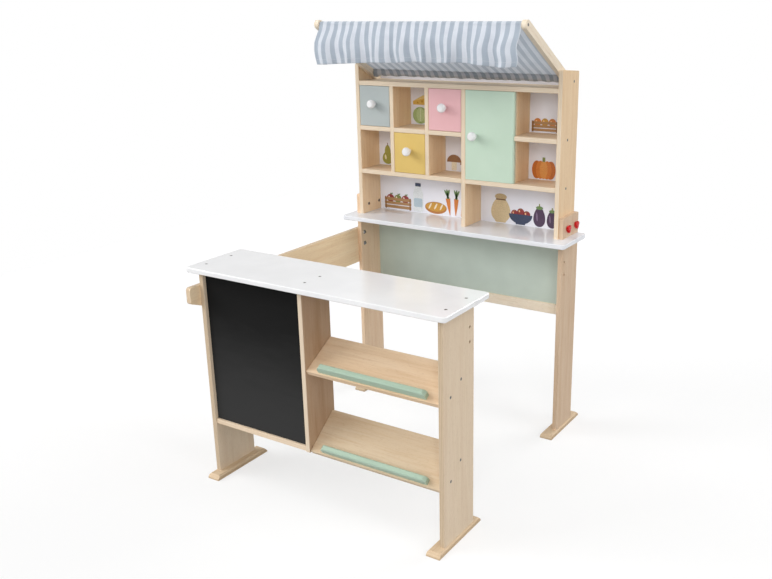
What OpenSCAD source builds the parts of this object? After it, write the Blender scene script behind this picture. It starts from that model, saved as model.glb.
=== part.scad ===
// Toy market stall: a serving counter with a chalkboard and sloping display shelves, joined
// by a side board to a rear frame that carries a worktop, a shelf unit with drawers and a
// cupboard, and a striped awning.
// Millimetres. X runs along the counter, Y from the customer's side to the back, Z up.
// The origin is on the floor, in the middle of the footprint.

/* [Boards] */
// Thickness of the wooden boards
board_t = 12; // [10:0.5:15]
// Thickness of the two back panels
back_t = 6; // [4:0.5:7]
// Thickness of the chalkboard
chalk_t = 4; // [3:0.5:5]
// Bevel along the edges of the lacquered tops
top_bevel = 1.5; // [0.5:0.25:3]
// Corner radius of the lacquered tops
top_r = 9; // [6:1:30]
// Eased edge of the boards
ease = 0.8; // [0.3:0.1:1.5]
// How deep panels sit in the grooves of the boards
groove_in = 4; // [2:0.5:5]

/* [Footprint] */
// Depth over the link board and the rear feet
stall_d = 803; // [740:1:900]
// How far the link board stands out in front of the counter
link_reach = 32.5; // [20:0.5:45]
// Length of a foot bar
foot_length = 180; // [140:1:200]
// Width of a foot bar
foot_w = 34; // [28:1:44]
// Height of a foot bar
foot_h = 12; // [10:0.5:18]
// How far a foot is set inwards from under its board
foot_in = 7; // [0:0.5:9]
// Depth of the housing that takes the board's lower end
foot_housing = 4; // [2:0.5:6]

/* [Counter] */
// Height of the counter top and of the rear worktop
counter_h = 545; // [500:1:600]
// Width over the counter's side boards
counter_w = 666; // [620:1:720]
// Depth of the counter's side boards
counter_d = 126; // [110:1:150]
// Overhang of the counter top at each end
top_side = 19; // [10:1:30]
// Overhang of the counter top at the front
top_front = 23; // [10:1:30]
// Overhang of the counter top at the back
top_rear = 37; // [20:1:50]
// Clear width of the chalkboard half
chalk_bay = 284; // [240:1:320]
// How far the chalkboard sits behind the front edges
chalk_set = 9; // [7:0.5:14]
// Height of the rail under the chalkboard
chalk_rail_h = 12; // [10:1:24]
// Height of the rail's lower edge above the floor
chalk_rail_z = 142; // [136:1:160]
// Depth of the middle board
mid_d = 97; // [90:1:105]

/* [Display shelves] */
// Length of the upper shelf down its slope
upper_l = 106; // [90:1:108]
// Length of the lower shelf down its slope
lower_l = 111; // [90:1:112]
// Slope of the upper shelf
upper_tilt = 30; // [24:1:34]
// Slope of the lower shelf
lower_tilt = 38; // [30:1:40]
// Height of the counter above the upper shelf's front edge
upper_down = 200; // [180:1:220]
// Height of the lower shelf's front edge
lower_z = 147; // [140:1:160]
// Length of a stop bar
bar_l = 281; // [240:1:320]
// Height of a stop bar above its shelf
bar_h = 19; // [12:0.5:24]
// Depth of a stop bar
bar_d = 13; // [10:0.5:16]
// Distance of a stop bar from the shelf's front edge
bar_set = 4; // [2:0.5:10]

/* [Rear frame] */
// Depth of a leg
leg_d = 97; // [92:1:104]
// How far the legs stand in front of the middle of their feet
leg_forward = 3; // [0:0.5:10]
// How far the legs stand up above the worktop as clamp tabs
tab_h = 54; // [50:1:80]
// Overhang of the worktop at the left end
worktop_left = 17; // [12:1:18]
// Overhang of the worktop at the right end
worktop_right = 26; // [19:1:30]
// Overhang of the worktop in front of the legs
worktop_front = 51; // [40:1:60]
// Visible height of the lower back panel
lower_panel_h = 195; // [150:1:240]
// Height of the rail under the lower back panel
lower_rail_h = 28; // [20:1:40]

/* [Shelf unit] */
// Depth of the unit's side boards
unit_d = 98; // [94:1:104]
// Height of the side boards' front edges above the worktop
unit_h = 418; // [405:1:440]
// How far the unit stands in front of the legs
unit_set = 3; // [0:0.5:6]
// How far the back panel sits in front of the rear edges
back_set = 3; // [2:0.5:5]
// How far the back panel stands above the top shelf
back_up = 14; // [0:1:18]
// Clear height of the large bays over the worktop
bay_h = 118; // [100:1:130]
// How far the side boards' front edges rise above the top shelf
side_over = 44; // [32:1:52]
// How much lower the side boards are at their rear edges
side_fall = 8; // [0:1:10]
// Clear width of one drawer column
column_w = 100; // [90:1:104]
// Clear width of the cupboard
cupboard_w = 130; // [120:1:140]
// Clear width of the cubbies beside the cupboard
cubby_w = 116; // [100:1:130]
// Gap round drawer fronts and the door
front_gap = 0.7; // [0.5:0.1:1.2]
// Thickness of a drawer front
drawer_front_t = 10; // [8:0.5:12]
// Height of a drawer box
drawer_box_h = 78; // [50:1:95]
// Wall of a drawer box
drawer_wall = 5; // [4:0.5:7]
// Free space beside and behind a drawer box
drawer_play = 1.5; // [1:0.1:3]
// Free height between a drawer and the shelf it slides on
slide_gap = 0.4; // [0.3:0.05:0.6]
// Diameter of the round knobs
knob_d = 24; // [18:1:28]
// Height of a drawer knob above the middle of its front
knob_up = 7; // [0:1:12]
// Distance of the door knob from the door's free edge
door_knob_in = 28; // [20:1:36]

/* [Door hinge] */
// Diameter of a hinge pin
pin_d = 4; // [3:0.5:5]
// Radial clearance of the pin in the door
pin_play = 0.05; // [0.02:0.01:0.09]
// Depth of a hinge pin in the door
pin_in_door = 10; // [6:0.5:15]
// Depth of a hinge pin in the shelf
pin_in_shelf = 7; // [4:0.5:9]

/* [Clamps and bolts] */
// Diameter of a clamp stud and of a link bolt
stud_d = 6; // [5:0.5:7]
// Radial clearance of a stud in its threaded insert
stud_play = 0.05; // [0.02:0.01:0.09]
// Radial clearance of a stud or bolt in a board
bolt_play = 0.4; // [0.3:0.05:0.6]
// Radius of a clamp knob's lobes
lobe_r = 4.5; // [4:0.25:5.5]
// Distance of the lobes from the knob's axis
lobe_at = 6.25; // [5.5:0.25:7.5]
// Thickness of a clamp knob's head
clamp_t = 6.5; // [5:0.5:10]
// Gap between a clamp knob and the tab
clamp_gap = 0.4; // [0.3:0.05:0.8]
// Distance of the clamp studs from the front edge of the tab
clamp_first = 26; // [20:1:28]
// Distance between the two clamp studs of a tab
clamp_pitch = 51; // [40:1:52]
// Height of the clamp studs above the worktop
clamp_up = 24; // [20:1:32]
// Distance of the upper link bolt from the link board's upper edge
link_bolt_in = 13; // [10:1:20]
// How much lower the spare holes of the right-hand boards are drilled
spare_drop = 3; // [0:0.5:6]
// Distance between the two link bolts of a board
link_pitch = 33; // [28:1:40]
// Distance of the link bolts from the legs' front edge
link_leg_in = 15.5; // [12:0.5:20]
// Distance of the link bolts from the rear edge of the counter's side board
link_counter_in = 18; // [14:0.5:24]

/* [Link board] */
// Height of the link board
link_h = 101; // [90:1:120]
// Distance of the link board's upper edge from the counter's upper face
link_down = 47; // [40:1:60]
// Height of its narrow front end
link_end_h = 41; // [30:1:60]
// Corner radius at its front end
link_r = 7; // [3:0.5:12]

/* [Awning] */
// Slope of the awning arms
awning_tilt = 30.4; // [27:0.1:33]
// Height of the front rod above the top shelf
rod_up = 153; // [150:1:156]
// Distance of the front rod in front of the shelf unit
rod_reach = 172; // [160:1:185]
// Width of an arm
arm_w = 22; // [18:1:24]
// Diameter of the front rod
front_rod_d = 12; // [8:1:14]
// Diameter of the rear rod
rear_rod_d = 12; // [8:0.5:12]
// Distance of the rear rod from the arms' rear ends
rear_rod_in = 31; // [29:0.5:36]
// How deep the rear rod sits in the arms
rear_rod_deep = 6; // [4:0.5:8]
// Distance of an arm's screw from the arm's rear end
arm_screw_in = 20; // [18:0.5:21]
// Thickness of the cloth
cloth_t = 1.2; // [1:0.1:2]
// Length of the hanging front edge
valance_h = 98; // [70:1:120]
// How far the hanging edge bellies out
valance_belly = 8; // [0:0.5:12]
// Depth of the folds at the hem
fold_depth = 9; // [2:0.5:12]
// Number of folds along the hem
folds = 8; // [5:1:9]
// Sag of the cloth between the rods
cloth_sag = 7; // [0:0.5:12]
// Free space between the cloth and the arms
cloth_side = 2; // [1:0.5:6]

/* [Screws] */
// Diameter of a screw head
screw_head_d = 7; // [6:0.5:8]
// Diameter of a screw shank
screw_d = 3.5; // [3:0.25:4]
// Length of a screw
screw_l = 32; // [25:1:40]
// Distance of the top screws from the board edges
screw_edge = 22; // [16:1:28]
// Radial clearance of a screw in the wood
screw_play = 0.05; // [0.02:0.01:0.1]

/* [Hidden] */
$fn = 64;

// Colours as they look on the object
wood = "#e3c79f";
white = "#f2f1ee";
mint = "#bcd6c4";
slate = "#202122";
blue_grey = "#b4bfc0";
mustard = "#e0bd69";
rose = "#e0b0b3";
red = "#b8232a";
steel = "#b9bcc0";
stripe_blue = "#aeb9c7";

// Bevels and front lip of a foot bar
foot_bevel_l = 8;
foot_bevel_w = 4;
foot_lip = 3.5;

// Clipped corners at the upper ends of legs and side boards
board_clip = 3;

// A hair of extra depth, so that cuts go right through a face
cut = 1;

// Counter
side_x = counter_w / 2;
counter_y0 = -stall_d / 2 + link_reach;
counter_y1 = counter_y0 + counter_d;
top_z0 = counter_h - board_t;
bay_x0 = -side_x + board_t;
display_set = 2;
rail_set = 3;
mid_x0 = bay_x0 + chalk_bay;
display_x0 = mid_x0 + board_t;
display_x1 = side_x - board_t;
display_w = display_x1 - display_x0;
display_y0 = counter_y0 + display_set;
upper_z = counter_h - upper_down;
mid_y1 = counter_y0 + mid_d;
bar_end = 7;
bar_edge = 2.5;
chalk_y0 = counter_y0 + chalk_set;
rail_y0 = counter_y0 + rail_set;
rail_y1 = rail_y0 + board_t;
rail_z1 = chalk_rail_z + chalk_rail_h;

// Rear frame
leg_mid_y = stall_d / 2 - foot_length / 2 - leg_forward;
leg_y0 = leg_mid_y - leg_d / 2;
leg_y1 = leg_y0 + leg_d;
leg_z0 = foot_h - foot_housing;
tab_z1 = counter_h + tab_h;
frame_x0 = -side_x;
panel_y0 = leg_y1 - back_t;
worktop_y0 = leg_y0 - worktop_front;
lower_panel_z = top_z0 - lower_panel_h;
lower_rail_z0 = lower_panel_z - lower_rail_h;
rebate = back_t;

// Shelf unit
unit_x0 = frame_x0 + board_t;
in_x0 = unit_x0 + board_t;
unit_y0 = leg_y0 - unit_set;
unit_y1 = unit_y0 + unit_d;
back_y0 = unit_y1 - back_set - back_t;
shelf_d = back_y0 - unit_y0;
low_z0 = counter_h + bay_h;
low_z1 = low_z0 + board_t;
row_h = (unit_h - bay_h - 3 * board_t - side_over) / 2;
row_z0 = low_z1 + row_h;
row_z1 = row_z0 + board_t;
top_shelf_z0 = row_z1 + row_h;
top_shelf_z1 = top_shelf_z0 + board_t;
back_z1 = top_shelf_z1 + back_up;
divider_1_x0 = in_x0 + column_w;
divider_2_x0 = divider_1_x0 + board_t + column_w;
main_x0 = divider_2_x0 + board_t + column_w;
cupboard_x0 = main_x0 + board_t;
cupboard_divider_x0 = cupboard_x0 + cupboard_w;
cubby_x0 = cupboard_divider_x0 + board_t;
in_x1 = cubby_x0 + cubby_w;
unit_x1 = in_x1 + board_t;
frame_x1 = unit_x1 + board_t;
frame_w = frame_x1 - frame_x0;

// Drawers: column start and shelf height of each
drawer_blue_at = [in_x0, row_z1];
drawer_yellow_at = [divider_1_x0 + board_t, low_z1];
drawer_pink_at = [divider_2_x0 + board_t, row_z1];
drawer_l = shelf_d - drawer_front_t - 2 * drawer_play;
front_bevel = 1;
drawer_floor_t = 4;
drawer_floor_up = 3;
knob_neck_r = 5.5;
knob_neck_l = 7;
knob_flat = 3;

// Door, turning on pins through the middle of its round hinge edge
door_r = board_t / 2;
door_x = cubby_x0 - front_gap - door_r;
door_y = unit_y0 + door_r;
door_x0 = cupboard_x0 + front_gap;
door_z0 = low_z1 + front_gap;
door_z1 = top_shelf_z0 - front_gap;
door_back_gap = 1.5;
stop_size = [18, 12, 14];

// Clamps and link
clamp_y = [leg_y0 + clamp_first, leg_y0 + clamp_first + clamp_pitch];
clamp_z = counter_h + clamp_up;
clamp_hub_l = 2;
clamp_hub_r = 7;
insert_r = 4.5;
stud_short = 4;
link_leg_y = leg_y0 + link_leg_in;
link_counter_y = counter_y1 - link_counter_in;
link_top = counter_h - link_down;
link_z = [link_top - link_bolt_in, link_top - link_bolt_in - link_pitch];
spare_z = [for (z = link_z) z - spare_drop];
link_tail = 20;
link_y1 = link_leg_y + link_tail;
bolt_head_r = 6;
bolt_head_t = 3.5;
nut_t = 5;

// Awning: along runs down the arm from the front rod, across points to its upper edge
rod_y = unit_y0 - rod_reach;
along = [cos(awning_tilt), -sin(awning_tilt)];
across = [sin(awning_tilt), cos(awning_tilt)];
rod_z = top_shelf_z1 + rod_up;
rod_at = [rod_y, rod_z];
arm_gap = 1;
arm_low_z = top_shelf_z1;
arm_end_y = back_y0 - arm_gap;
arm_x1 = in_x1;
arm_x0 = in_x0;
function on_arm(from_end) = rod_at + along * (arm_end_y - rod_y - from_end) / along[0];
rear_rod_at = on_arm(rear_rod_in);
rear_rod_play = 0.05;
arm_screw_at = on_arm(arm_screw_in);
arm_screw_short = 2;
arm_screw_l = 2 * board_t - arm_screw_short;
cloth_x0 = arm_x0 + board_t + cloth_side;
cloth_x1 = arm_x1 - board_t - cloth_side;

// Screws: a head cone on a shank
screw_head_h = 2.6;
recess_w = 1;
recess_l = 4;

// Box between two corners
module span(low, high) {
    translate(low) cube(high - low);
}

// Board between two corners, all its edges eased
module board(low, high) {
    w = high - low;
    translate(low) intersection() {
        linear_extrude(w[2]) bevelled(w[0], w[1], ease);
        rotate([90, 0, 90]) linear_extrude(w[0]) bevelled(w[1], w[2], ease);
        translate([0, w[1], 0]) rotate([90, 0, 0]) linear_extrude(w[1]) bevelled(w[0], w[2], ease);
    }
}

// Upright board with clipped upper corners and eased long edges
module upright(low, size, fall = 0) {
    translate(low) intersection() {
        linear_extrude(size[2]) bevelled(size[0], size[1], ease);
        rotate([90, 0, 90]) linear_extrude(size[0]) clipped(size[1], size[2], board_clip, fall);
    }
}

// Outline in Y and Z, drawn as [y, z], thickened along X from x0
module profile_x(x0, t) {
    translate([x0, 0, 0]) rotate([90, 0, 90]) linear_extrude(t) children();
}

// Rectangle with bevelled corners
module bevelled(w, h, c) {
    polygon([[c, 0], [w - c, 0], [w, c], [w, h - c], [w - c, h], [c, h], [0, h - c], [0, c]]);
}

// Rectangle with its two upper corners clipped, its top falling by a given height to the right
module clipped(w, h, c, fall = 0) {
    polygon([[0, 0], [w, 0], [w, h - fall - c], [w - c, h - fall], [c, h], [0, h - c]]);
}

// Lacquered top with round corners and bevelled upper and lower edges
module round_plate(w, d) {
    h = board_t;
    r = top_r;
    c = top_bevel;
    translate([r, 0, 0]) rotate([90, 0, 90]) linear_extrude(w - 2 * r) bevelled(d, h, c);
    translate([0, d - r, 0]) rotate([90, 0, 0]) linear_extrude(d - 2 * r) bevelled(w, h, c);
    for (x = [r, w - r], y = [r, d - r]) {
        translate([x, y, 0]) rotate_extrude() intersection() {
            translate([-r, 0]) bevelled(2 * r, h, c);
            square([r, h]);
        }
    }
}

// Drawer front with bevelled front edges
module front_plate(w, h) {
    t = drawer_front_t;
    c = front_bevel;
    intersection() {
        linear_extrude(h) polygon([[c, 0], [w - c, 0], [w, c], [w, t], [0, t], [0, c]]);
        rotate([90, 0, 90]) linear_extrude(w)
            polygon([[c, 0], [t, 0], [t, h], [c, h], [0, h - c], [0, c]]);
    }
}

// Round hole along X through a board
module hole_x(y, z, r, x0, x1) {
    translate([x0 - cut, y, z]) rotate([0, 90, 0]) cylinder(r = r, h = x1 - x0 + 2 * cut);
}

// Countersunk screw, head flush with the plane it starts on, pointing along -Z
module screw(l = screw_l) {
    difference() {
        union() {
            translate([0, 0, -screw_head_h])
                cylinder(r1 = screw_d / 2, r2 = screw_head_d / 2, h = screw_head_h);
            translate([0, 0, -l]) cylinder(r = screw_d / 2, h = l - screw_head_h);
        }
        for (a = [0, 90]) {
            rotate([0, 0, a]) translate([-recess_l / 2, -recess_w / 2, -screw_head_h / 2])
                cube([recess_l, recess_w, screw_head_h]);
        }
    }
}

// Hole for that screw
module screw_hole(l = screw_l) {
    r = screw_d / 2 + screw_play;
    rh = screw_head_d / 2 + screw_play;
    translate([0, 0, -l - screw_play]) cylinder(r = r, h = l + screw_play);
    translate([0, 0, -screw_head_h - screw_play])
        cylinder(r1 = r, r2 = rh, h = screw_head_h + screw_play);
    translate([0, 0, -screw_play]) cylinder(r = rh, h = cut);
}

// Turns a screw to point along +X or -X from an outer face
module towards_right() {
    rotate([0, -90, 0]) children();
}

module towards_left() {
    rotate([0, 90, 0]) children();
}

// Places of the counter screws: down into the side and middle boards
module at_top_screws() {
    mid = board_t / 2;
    for (x = [-side_x + mid, side_x - mid], y = [counter_y0 + screw_edge, counter_y1 - screw_edge])
        translate([x, y, counter_h]) children();
    for (y = [counter_y0 + screw_edge, mid_y1 - screw_edge])
        translate([mid_x0 + mid, y, counter_h]) children();
}

// Places of the screws that hold the ends of a sloping shelf
module at_shelf_ends(z, tilt, l) {
    for (s = [0.26, 0.73]) {
        y = display_y0 + s * l * cos(tilt) + board_t / 2 * sin(tilt);
        h = z + s * l * sin(tilt) - board_t / 2 * cos(tilt);
        translate([side_x, y, h]) towards_left() children();
        translate([mid_x0, y, h]) towards_right() children();
    }
}

// Places of the screws through the unit's side boards into the shelves
module at_unit_screws() {
    y = unit_y0 + 0.4 * unit_d;
    for (z = [low_z0 + board_t / 2, row_z0 + board_t / 2]) {
        translate([unit_x0, y, z]) towards_right() children();
        translate([unit_x1, y, z]) towards_left() children();
    }
}

// Places of the screws through the unit's side boards into the awning arms
module at_arm_screws() {
    translate([unit_x0, arm_screw_at[0], arm_screw_at[1]]) towards_right() children();
    translate([unit_x1, arm_screw_at[0], arm_screw_at[1]]) towards_left() children();
}

// Places of the screws through the arm tips into the front rod
module at_tip_screws() {
    translate([arm_x0, rod_y, rod_z]) towards_right() children();
    translate([arm_x1, rod_y, rod_z]) towards_left() children();
}

// Foot bar under a board: bevelled ends and upper edges, with a housing for the board
module foot(board_x0, board_y0, board_d, inward, back) {
    mid = board_x0 + board_t / 2 + inward * foot_in;
    y0 = board_y0 + board_d / 2 + back - foot_length / 2;
    color(wood) difference() {
        intersection() {
            profile_x(mid - foot_w / 2, foot_w) translate([y0, 0])
                polygon([[0, 0], [foot_length, 0], [foot_length, foot_lip], [foot_length - foot_bevel_l, foot_h],
                         [foot_bevel_l, foot_h], [0, foot_lip]]);
            translate([mid, y0 + foot_length, 0]) rotate([90, 0, 0]) linear_extrude(foot_length)
                polygon([[-foot_w / 2, 0], [foot_w / 2, 0], [foot_w / 2, foot_h - foot_bevel_w],
                         [foot_w / 2 - foot_bevel_w, foot_h], [foot_bevel_w - foot_w / 2, foot_h],
                         [-foot_w / 2, foot_h - foot_bevel_w]]);
        }
        span([board_x0, board_y0, foot_h - foot_housing],
             [board_x0 + board_t, board_y0 + board_d, foot_h + cut]);
    }
}

module counter_foot_left() {
    foot(-side_x, counter_y0, counter_d, 1, 0);
}

module counter_foot_right() {
    foot(side_x - board_t, counter_y0, counter_d, -1, 0);
}

module rear_foot_left() {
    foot(frame_x0, leg_y0, leg_d, 1, leg_forward);
}

module rear_foot_right() {
    foot(frame_x1 - board_t, leg_y0, leg_d, -1, leg_forward);
}

// Room that the chalkboard takes up in the boards and the rail round it
module chalk_slot() {
    span([bay_x0 - groove_in, chalk_y0, rail_z1 - groove_in],
         [mid_x0 + groove_in, chalk_y0 + chalk_t, top_z0]);
}

// Side board of the counter, drilled for the link board on either side
module counter_side(x0, holes_z) {
    difference() {
        board([x0, counter_y0, foot_h - foot_housing], [x0 + board_t, counter_y1, top_z0]);
        for (z = holes_z) hole_x(link_counter_y, z, stud_d / 2 + bolt_play, x0, x0 + board_t);
        at_top_screws() screw_hole();
    }
}

module counter_side_left() {
    color(wood) difference() {
        counter_side(-side_x, link_z);
        chalk_slot();
    }
}

module counter_side_right() {
    color(wood) difference() {
        counter_side(side_x - board_t, spare_z);
        at_shelf_ends(upper_z, upper_tilt, upper_l) screw_hole();
        at_shelf_ends(lower_z, lower_tilt, lower_l) screw_hole();
    }
}

module counter_middle() {
    color(wood) difference() {
        board([mid_x0, counter_y0, chalk_rail_z], [mid_x0 + board_t, mid_y1, top_z0]);
        chalk_slot();
        at_shelf_ends(upper_z, upper_tilt, upper_l) screw_hole();
        at_shelf_ends(lower_z, lower_tilt, lower_l) screw_hole();
        at_top_screws() screw_hole();
    }
}

module counter_top() {
    color(white) difference() {
        translate([-side_x - top_side, counter_y0 - top_front, top_z0])
            round_plate(counter_w + 2 * top_side, counter_d + top_front + top_rear);
        at_top_screws() screw_hole();
    }
}

module chalkboard() {
    color(slate) chalk_slot();
}

module chalk_rail() {
    color(wood) difference() {
        board([bay_x0, rail_y0, chalk_rail_z], [mid_x0, rail_y1, rail_z1]);
        chalk_slot();
    }
}

// Moves and tilts a shelf's own frame to its front upper edge
module on_slope(z, tilt) {
    translate([display_x0, display_y0, z]) rotate([tilt, 0, 0]) children();
}

module display_shelf(z, tilt, l) {
    color(wood) difference() {
        on_slope(z, tilt) board([0, 0, -board_t], [display_w, l, 0]);
        at_shelf_ends(z, tilt, l) screw_hole();
    }
}

module display_shelf_upper() {
    display_shelf(upper_z, upper_tilt, upper_l);
}

module display_shelf_lower() {
    display_shelf(lower_z, lower_tilt, lower_l);
}

// Stop bar: bevelled ends, rounded-off upper edges
module stop_bar(z, tilt) {
    color(mint) on_slope(z, tilt) translate([(display_w - bar_l) / 2, bar_set, 0]) intersection() {
        rotate([90, 0, 0]) translate([0, 0, -bar_d]) linear_extrude(bar_d)
            clipped(bar_l, bar_h, bar_end);
        rotate([90, 0, 90]) linear_extrude(bar_l)
            clipped(bar_d, bar_h, bar_edge);
    }
}

module stop_bar_upper() {
    stop_bar(upper_z, upper_tilt);
}

module stop_bar_lower() {
    stop_bar(lower_z, lower_tilt);
}

module counter_screws() {
    color(steel) {
        at_top_screws() screw();
        at_shelf_ends(upper_z, upper_tilt, upper_l) screw();
        at_shelf_ends(lower_z, lower_tilt, lower_l) screw();
    }
}

// Link board: full height between the units, tapering to a narrow end in front of the counter
module link_board() {
    y0 = -stall_d / 2;
    z0 = link_top - link_h;
    end_z0 = link_top - link_end_h;
    color(wood) difference() {
        profile_x(-side_x - board_t, board_t) union() {
            polygon([[y0 + link_r, link_top], [y0, link_top - link_r], [y0, end_z0 + link_r],
                     [y0 + link_r, end_z0], [counter_y1, z0], [link_y1, z0], [link_y1, link_top]]);
            translate([y0 + link_r, link_top - link_r]) circle(link_r);
            translate([y0 + link_r, end_z0 + link_r]) circle(link_r);
        }
        for (y = [link_leg_y, link_counter_y], z = link_z)
            hole_x(y, z, stud_d / 2 + bolt_play, -side_x - board_t, -side_x);
    }
}

// Link bolts: domed head inside, shank through both boards, round nut outside
module link_bolts() {
    x1 = -side_x + board_t;
    x0 = -side_x - board_t;
    color(steel) for (y = [link_leg_y, link_counter_y], z = link_z) {
        translate([x0 - nut_t, y, z]) rotate([0, 90, 0]) {
            cylinder(r = stud_d / 2, h = x1 - x0 + nut_t);
            cylinder(r = bolt_head_r, h = nut_t);
            translate([0, 0, nut_t + x1 - x0])
                cylinder(r1 = bolt_head_r, r2 = bolt_head_r / 2, h = bolt_head_t);
        }
    }
}

// Leg: stands in its foot, passes the worktop and ends in a clamp tab; the inner rear edge
// is rebated for the lower back panel
module rear_leg(x0, inner_x0, holes_z) {
    color(wood) difference() {
        upright([x0, leg_y0, leg_z0], [board_t, leg_d, tab_z1 - leg_z0]);
        span([inner_x0, panel_y0, lower_panel_z - rebate], [inner_x0 + rebate, leg_y1 + cut, counter_h]);
        for (z = holes_z) hole_x(link_leg_y, z, stud_d / 2 + bolt_play, x0, x0 + board_t);
        for (y = clamp_y) hole_x(y, clamp_z, stud_d / 2 + bolt_play, x0, x0 + board_t);
    }
}

module rear_leg_left() {
    rear_leg(frame_x0, frame_x0 + board_t - rebate, link_z);
}

module rear_leg_right() {
    rear_leg(frame_x1 - board_t, frame_x1 - board_t, spare_z);
}

module lower_back_panel() {
    color(mint) span([frame_x0 + board_t - rebate, panel_y0, lower_panel_z - rebate],
                     [frame_x1 - board_t + rebate, leg_y1, counter_h]);
}

module lower_rail() {
    color(wood) difference() {
        board([frame_x0 + board_t, leg_y1 - board_t, lower_rail_z0],
              [frame_x1 - board_t, leg_y1, lower_panel_z]);
        span([frame_x0, panel_y0, lower_panel_z - rebate], [frame_x1, leg_y1 + cut, lower_panel_z + cut]);
    }
}

// Worktop with open notches at the back for the two legs
module worktop() {
    w = frame_w + worktop_left + worktop_right;
    d = panel_y0 - worktop_y0;
    color(white) difference() {
        translate([frame_x0 - worktop_left, worktop_y0, top_z0]) round_plate(w, d);
        for (x = [frame_x0, frame_x1 - board_t])
            span([x, leg_y0, top_z0 - cut], [x + board_t, panel_y0 + cut, counter_h + cut]);
    }
}

// Side board of the shelf unit: groove for the back panel, holes for the clamp inserts
module side_board(x0, groove_x0) {
    color(wood) difference() {
        upright([x0, unit_y0, counter_h], [board_t, unit_d, unit_h], side_fall);
        span([groove_x0, back_y0, counter_h - cut],
             [groove_x0 + groove_in, back_y0 + back_t, back_z1]);
        for (y = clamp_y) hole_x(y, clamp_z, insert_r, x0, x0 + board_t);
        at_unit_screws() screw_hole();
        at_arm_screws() screw_hole(arm_screw_l);
    }
}

module side_board_left() {
    side_board(unit_x0, in_x0 - groove_in);
}

module side_board_right() {
    side_board(in_x1, in_x1);
}

module upper_back_panel() {
    color(white) span([in_x0 - groove_in, back_y0, counter_h],
                      [in_x1 + groove_in, back_y0 + back_t, back_z1]);
}

// Blind hole for a door pin, above or below the door
module pin_hole(z, h) {
    translate([door_x, door_y, z]) cylinder(d = pin_d, h = h);
}

module top_shelf() {
    color(wood) difference() {
        board([in_x0, unit_y0, top_shelf_z0], [in_x1, back_y0, top_shelf_z1]);
        pin_hole(top_shelf_z0 - cut, pin_in_shelf + cut);
    }
}

module low_shelf_left() {
    color(wood) difference() {
        board([in_x0, unit_y0, low_z0], [main_x0, back_y0, low_z1]);
        at_unit_screws() screw_hole();
    }
}

module low_shelf_right() {
    color(wood) difference() {
        board([cupboard_x0, unit_y0, low_z0], [in_x1, back_y0, low_z1]);
        pin_hole(low_z1 - pin_in_shelf, pin_in_shelf + cut);
        at_unit_screws() screw_hole();
    }
}

// Row shelf, slotted from the front over the two drawer dividers
module row_shelf() {
    color(wood) difference() {
        board([in_x0, unit_y0, row_z0], [main_x0, back_y0, row_z1]);
        for (x = [divider_1_x0, divider_2_x0])
            span([x, unit_y0 - cut, row_z0 - cut], [x + board_t, unit_y0 + shelf_d / 2, row_z1 + cut]);
        at_unit_screws() screw_hole();
    }
}

// Drawer divider, slotted from the back for the row shelf
module drawer_divider(x0) {
    color(wood) difference() {
        board([x0, unit_y0, low_z1], [x0 + board_t, back_y0, top_shelf_z0]);
        span([x0 - cut, unit_y0 + shelf_d / 2, row_z0], [x0 + board_t + cut, back_y0 + cut, row_z1]);
    }
}

module drawer_divider_1() {
    drawer_divider(divider_1_x0);
}

module drawer_divider_2() {
    drawer_divider(divider_2_x0);
}

module main_divider() {
    color(wood) board([main_x0, unit_y0, counter_h], [main_x0 + board_t, back_y0, top_shelf_z0]);
}

// Cupboard divider, set back behind the door that laps over it
module cupboard_divider() {
    color(wood) board([cupboard_divider_x0, unit_y0 + board_t + door_back_gap, low_z1],
                      [cubby_x0, back_y0, top_shelf_z0]);
}

module cubby_shelf() {
    color(wood) difference() {
        board([cubby_x0, unit_y0, row_z0], [in_x1, back_y0, row_z1]);
        at_unit_screws() screw_hole();
    }
}

module unit_screws() {
    color(steel) {
        at_unit_screws() screw();
        at_arm_screws() screw(arm_screw_l);
        at_tip_screws() screw();
    }
}

// Round knob on a neck, standing out along -Y from a front face
module knob(x, z) {
    r = knob_d / 2;
    color(white) translate([x, unit_y0, z]) rotate([90, 0, 0]) {
        cylinder(r = knob_neck_r, h = knob_neck_l + r / 2);
        translate([0, 0, knob_neck_l + r - knob_flat]) intersection() {
            sphere(r);
            translate([-r, -r, knob_flat - r]) cube([2 * r, 2 * r, 2 * r - 2 * knob_flat]);
        }
    }
}

module drawer_front(at, tint) {
    w = column_w - 2 * front_gap;
    h = row_h - 2 * front_gap;
    color(tint) translate([at[0] + front_gap, unit_y0, at[1] + front_gap]) front_plate(w, h);
}

// Drawer box: open at the top, its floor let in a little above the lower edges
module drawer_box(at) {
    x0 = at[0] + drawer_play;
    x1 = at[0] + column_w - drawer_play;
    y0 = unit_y0 + drawer_front_t;
    y1 = y0 + drawer_l;
    z0 = at[1] + slide_gap;
    floor_z1 = z0 + drawer_floor_up + drawer_floor_t;
    color(wood) difference() {
        span([x0, y0, z0], [x1, y1, z0 + drawer_box_h]);
        span([x0 + drawer_wall, y0 + drawer_wall, floor_z1],
             [x1 - drawer_wall, y1 - drawer_wall, z0 + drawer_box_h + cut]);
        span([x0 + drawer_wall, y0 + drawer_wall, z0 - cut],
             [x1 - drawer_wall, y1 - drawer_wall, z0 + drawer_floor_up]);
    }
}

module drawer_knob(at) {
    knob(at[0] + column_w / 2, at[1] + row_h / 2 + knob_up);
}

module drawer_front_blue() {
    drawer_front(drawer_blue_at, blue_grey);
}

module drawer_box_blue() {
    drawer_box(drawer_blue_at);
}

module drawer_knob_blue() {
    drawer_knob(drawer_blue_at);
}

module drawer_front_yellow() {
    drawer_front(drawer_yellow_at, mustard);
}

module drawer_box_yellow() {
    drawer_box(drawer_yellow_at);
}

module drawer_knob_yellow() {
    drawer_knob(drawer_yellow_at);
}

module drawer_front_pink() {
    drawer_front(drawer_pink_at, rose);
}

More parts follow.
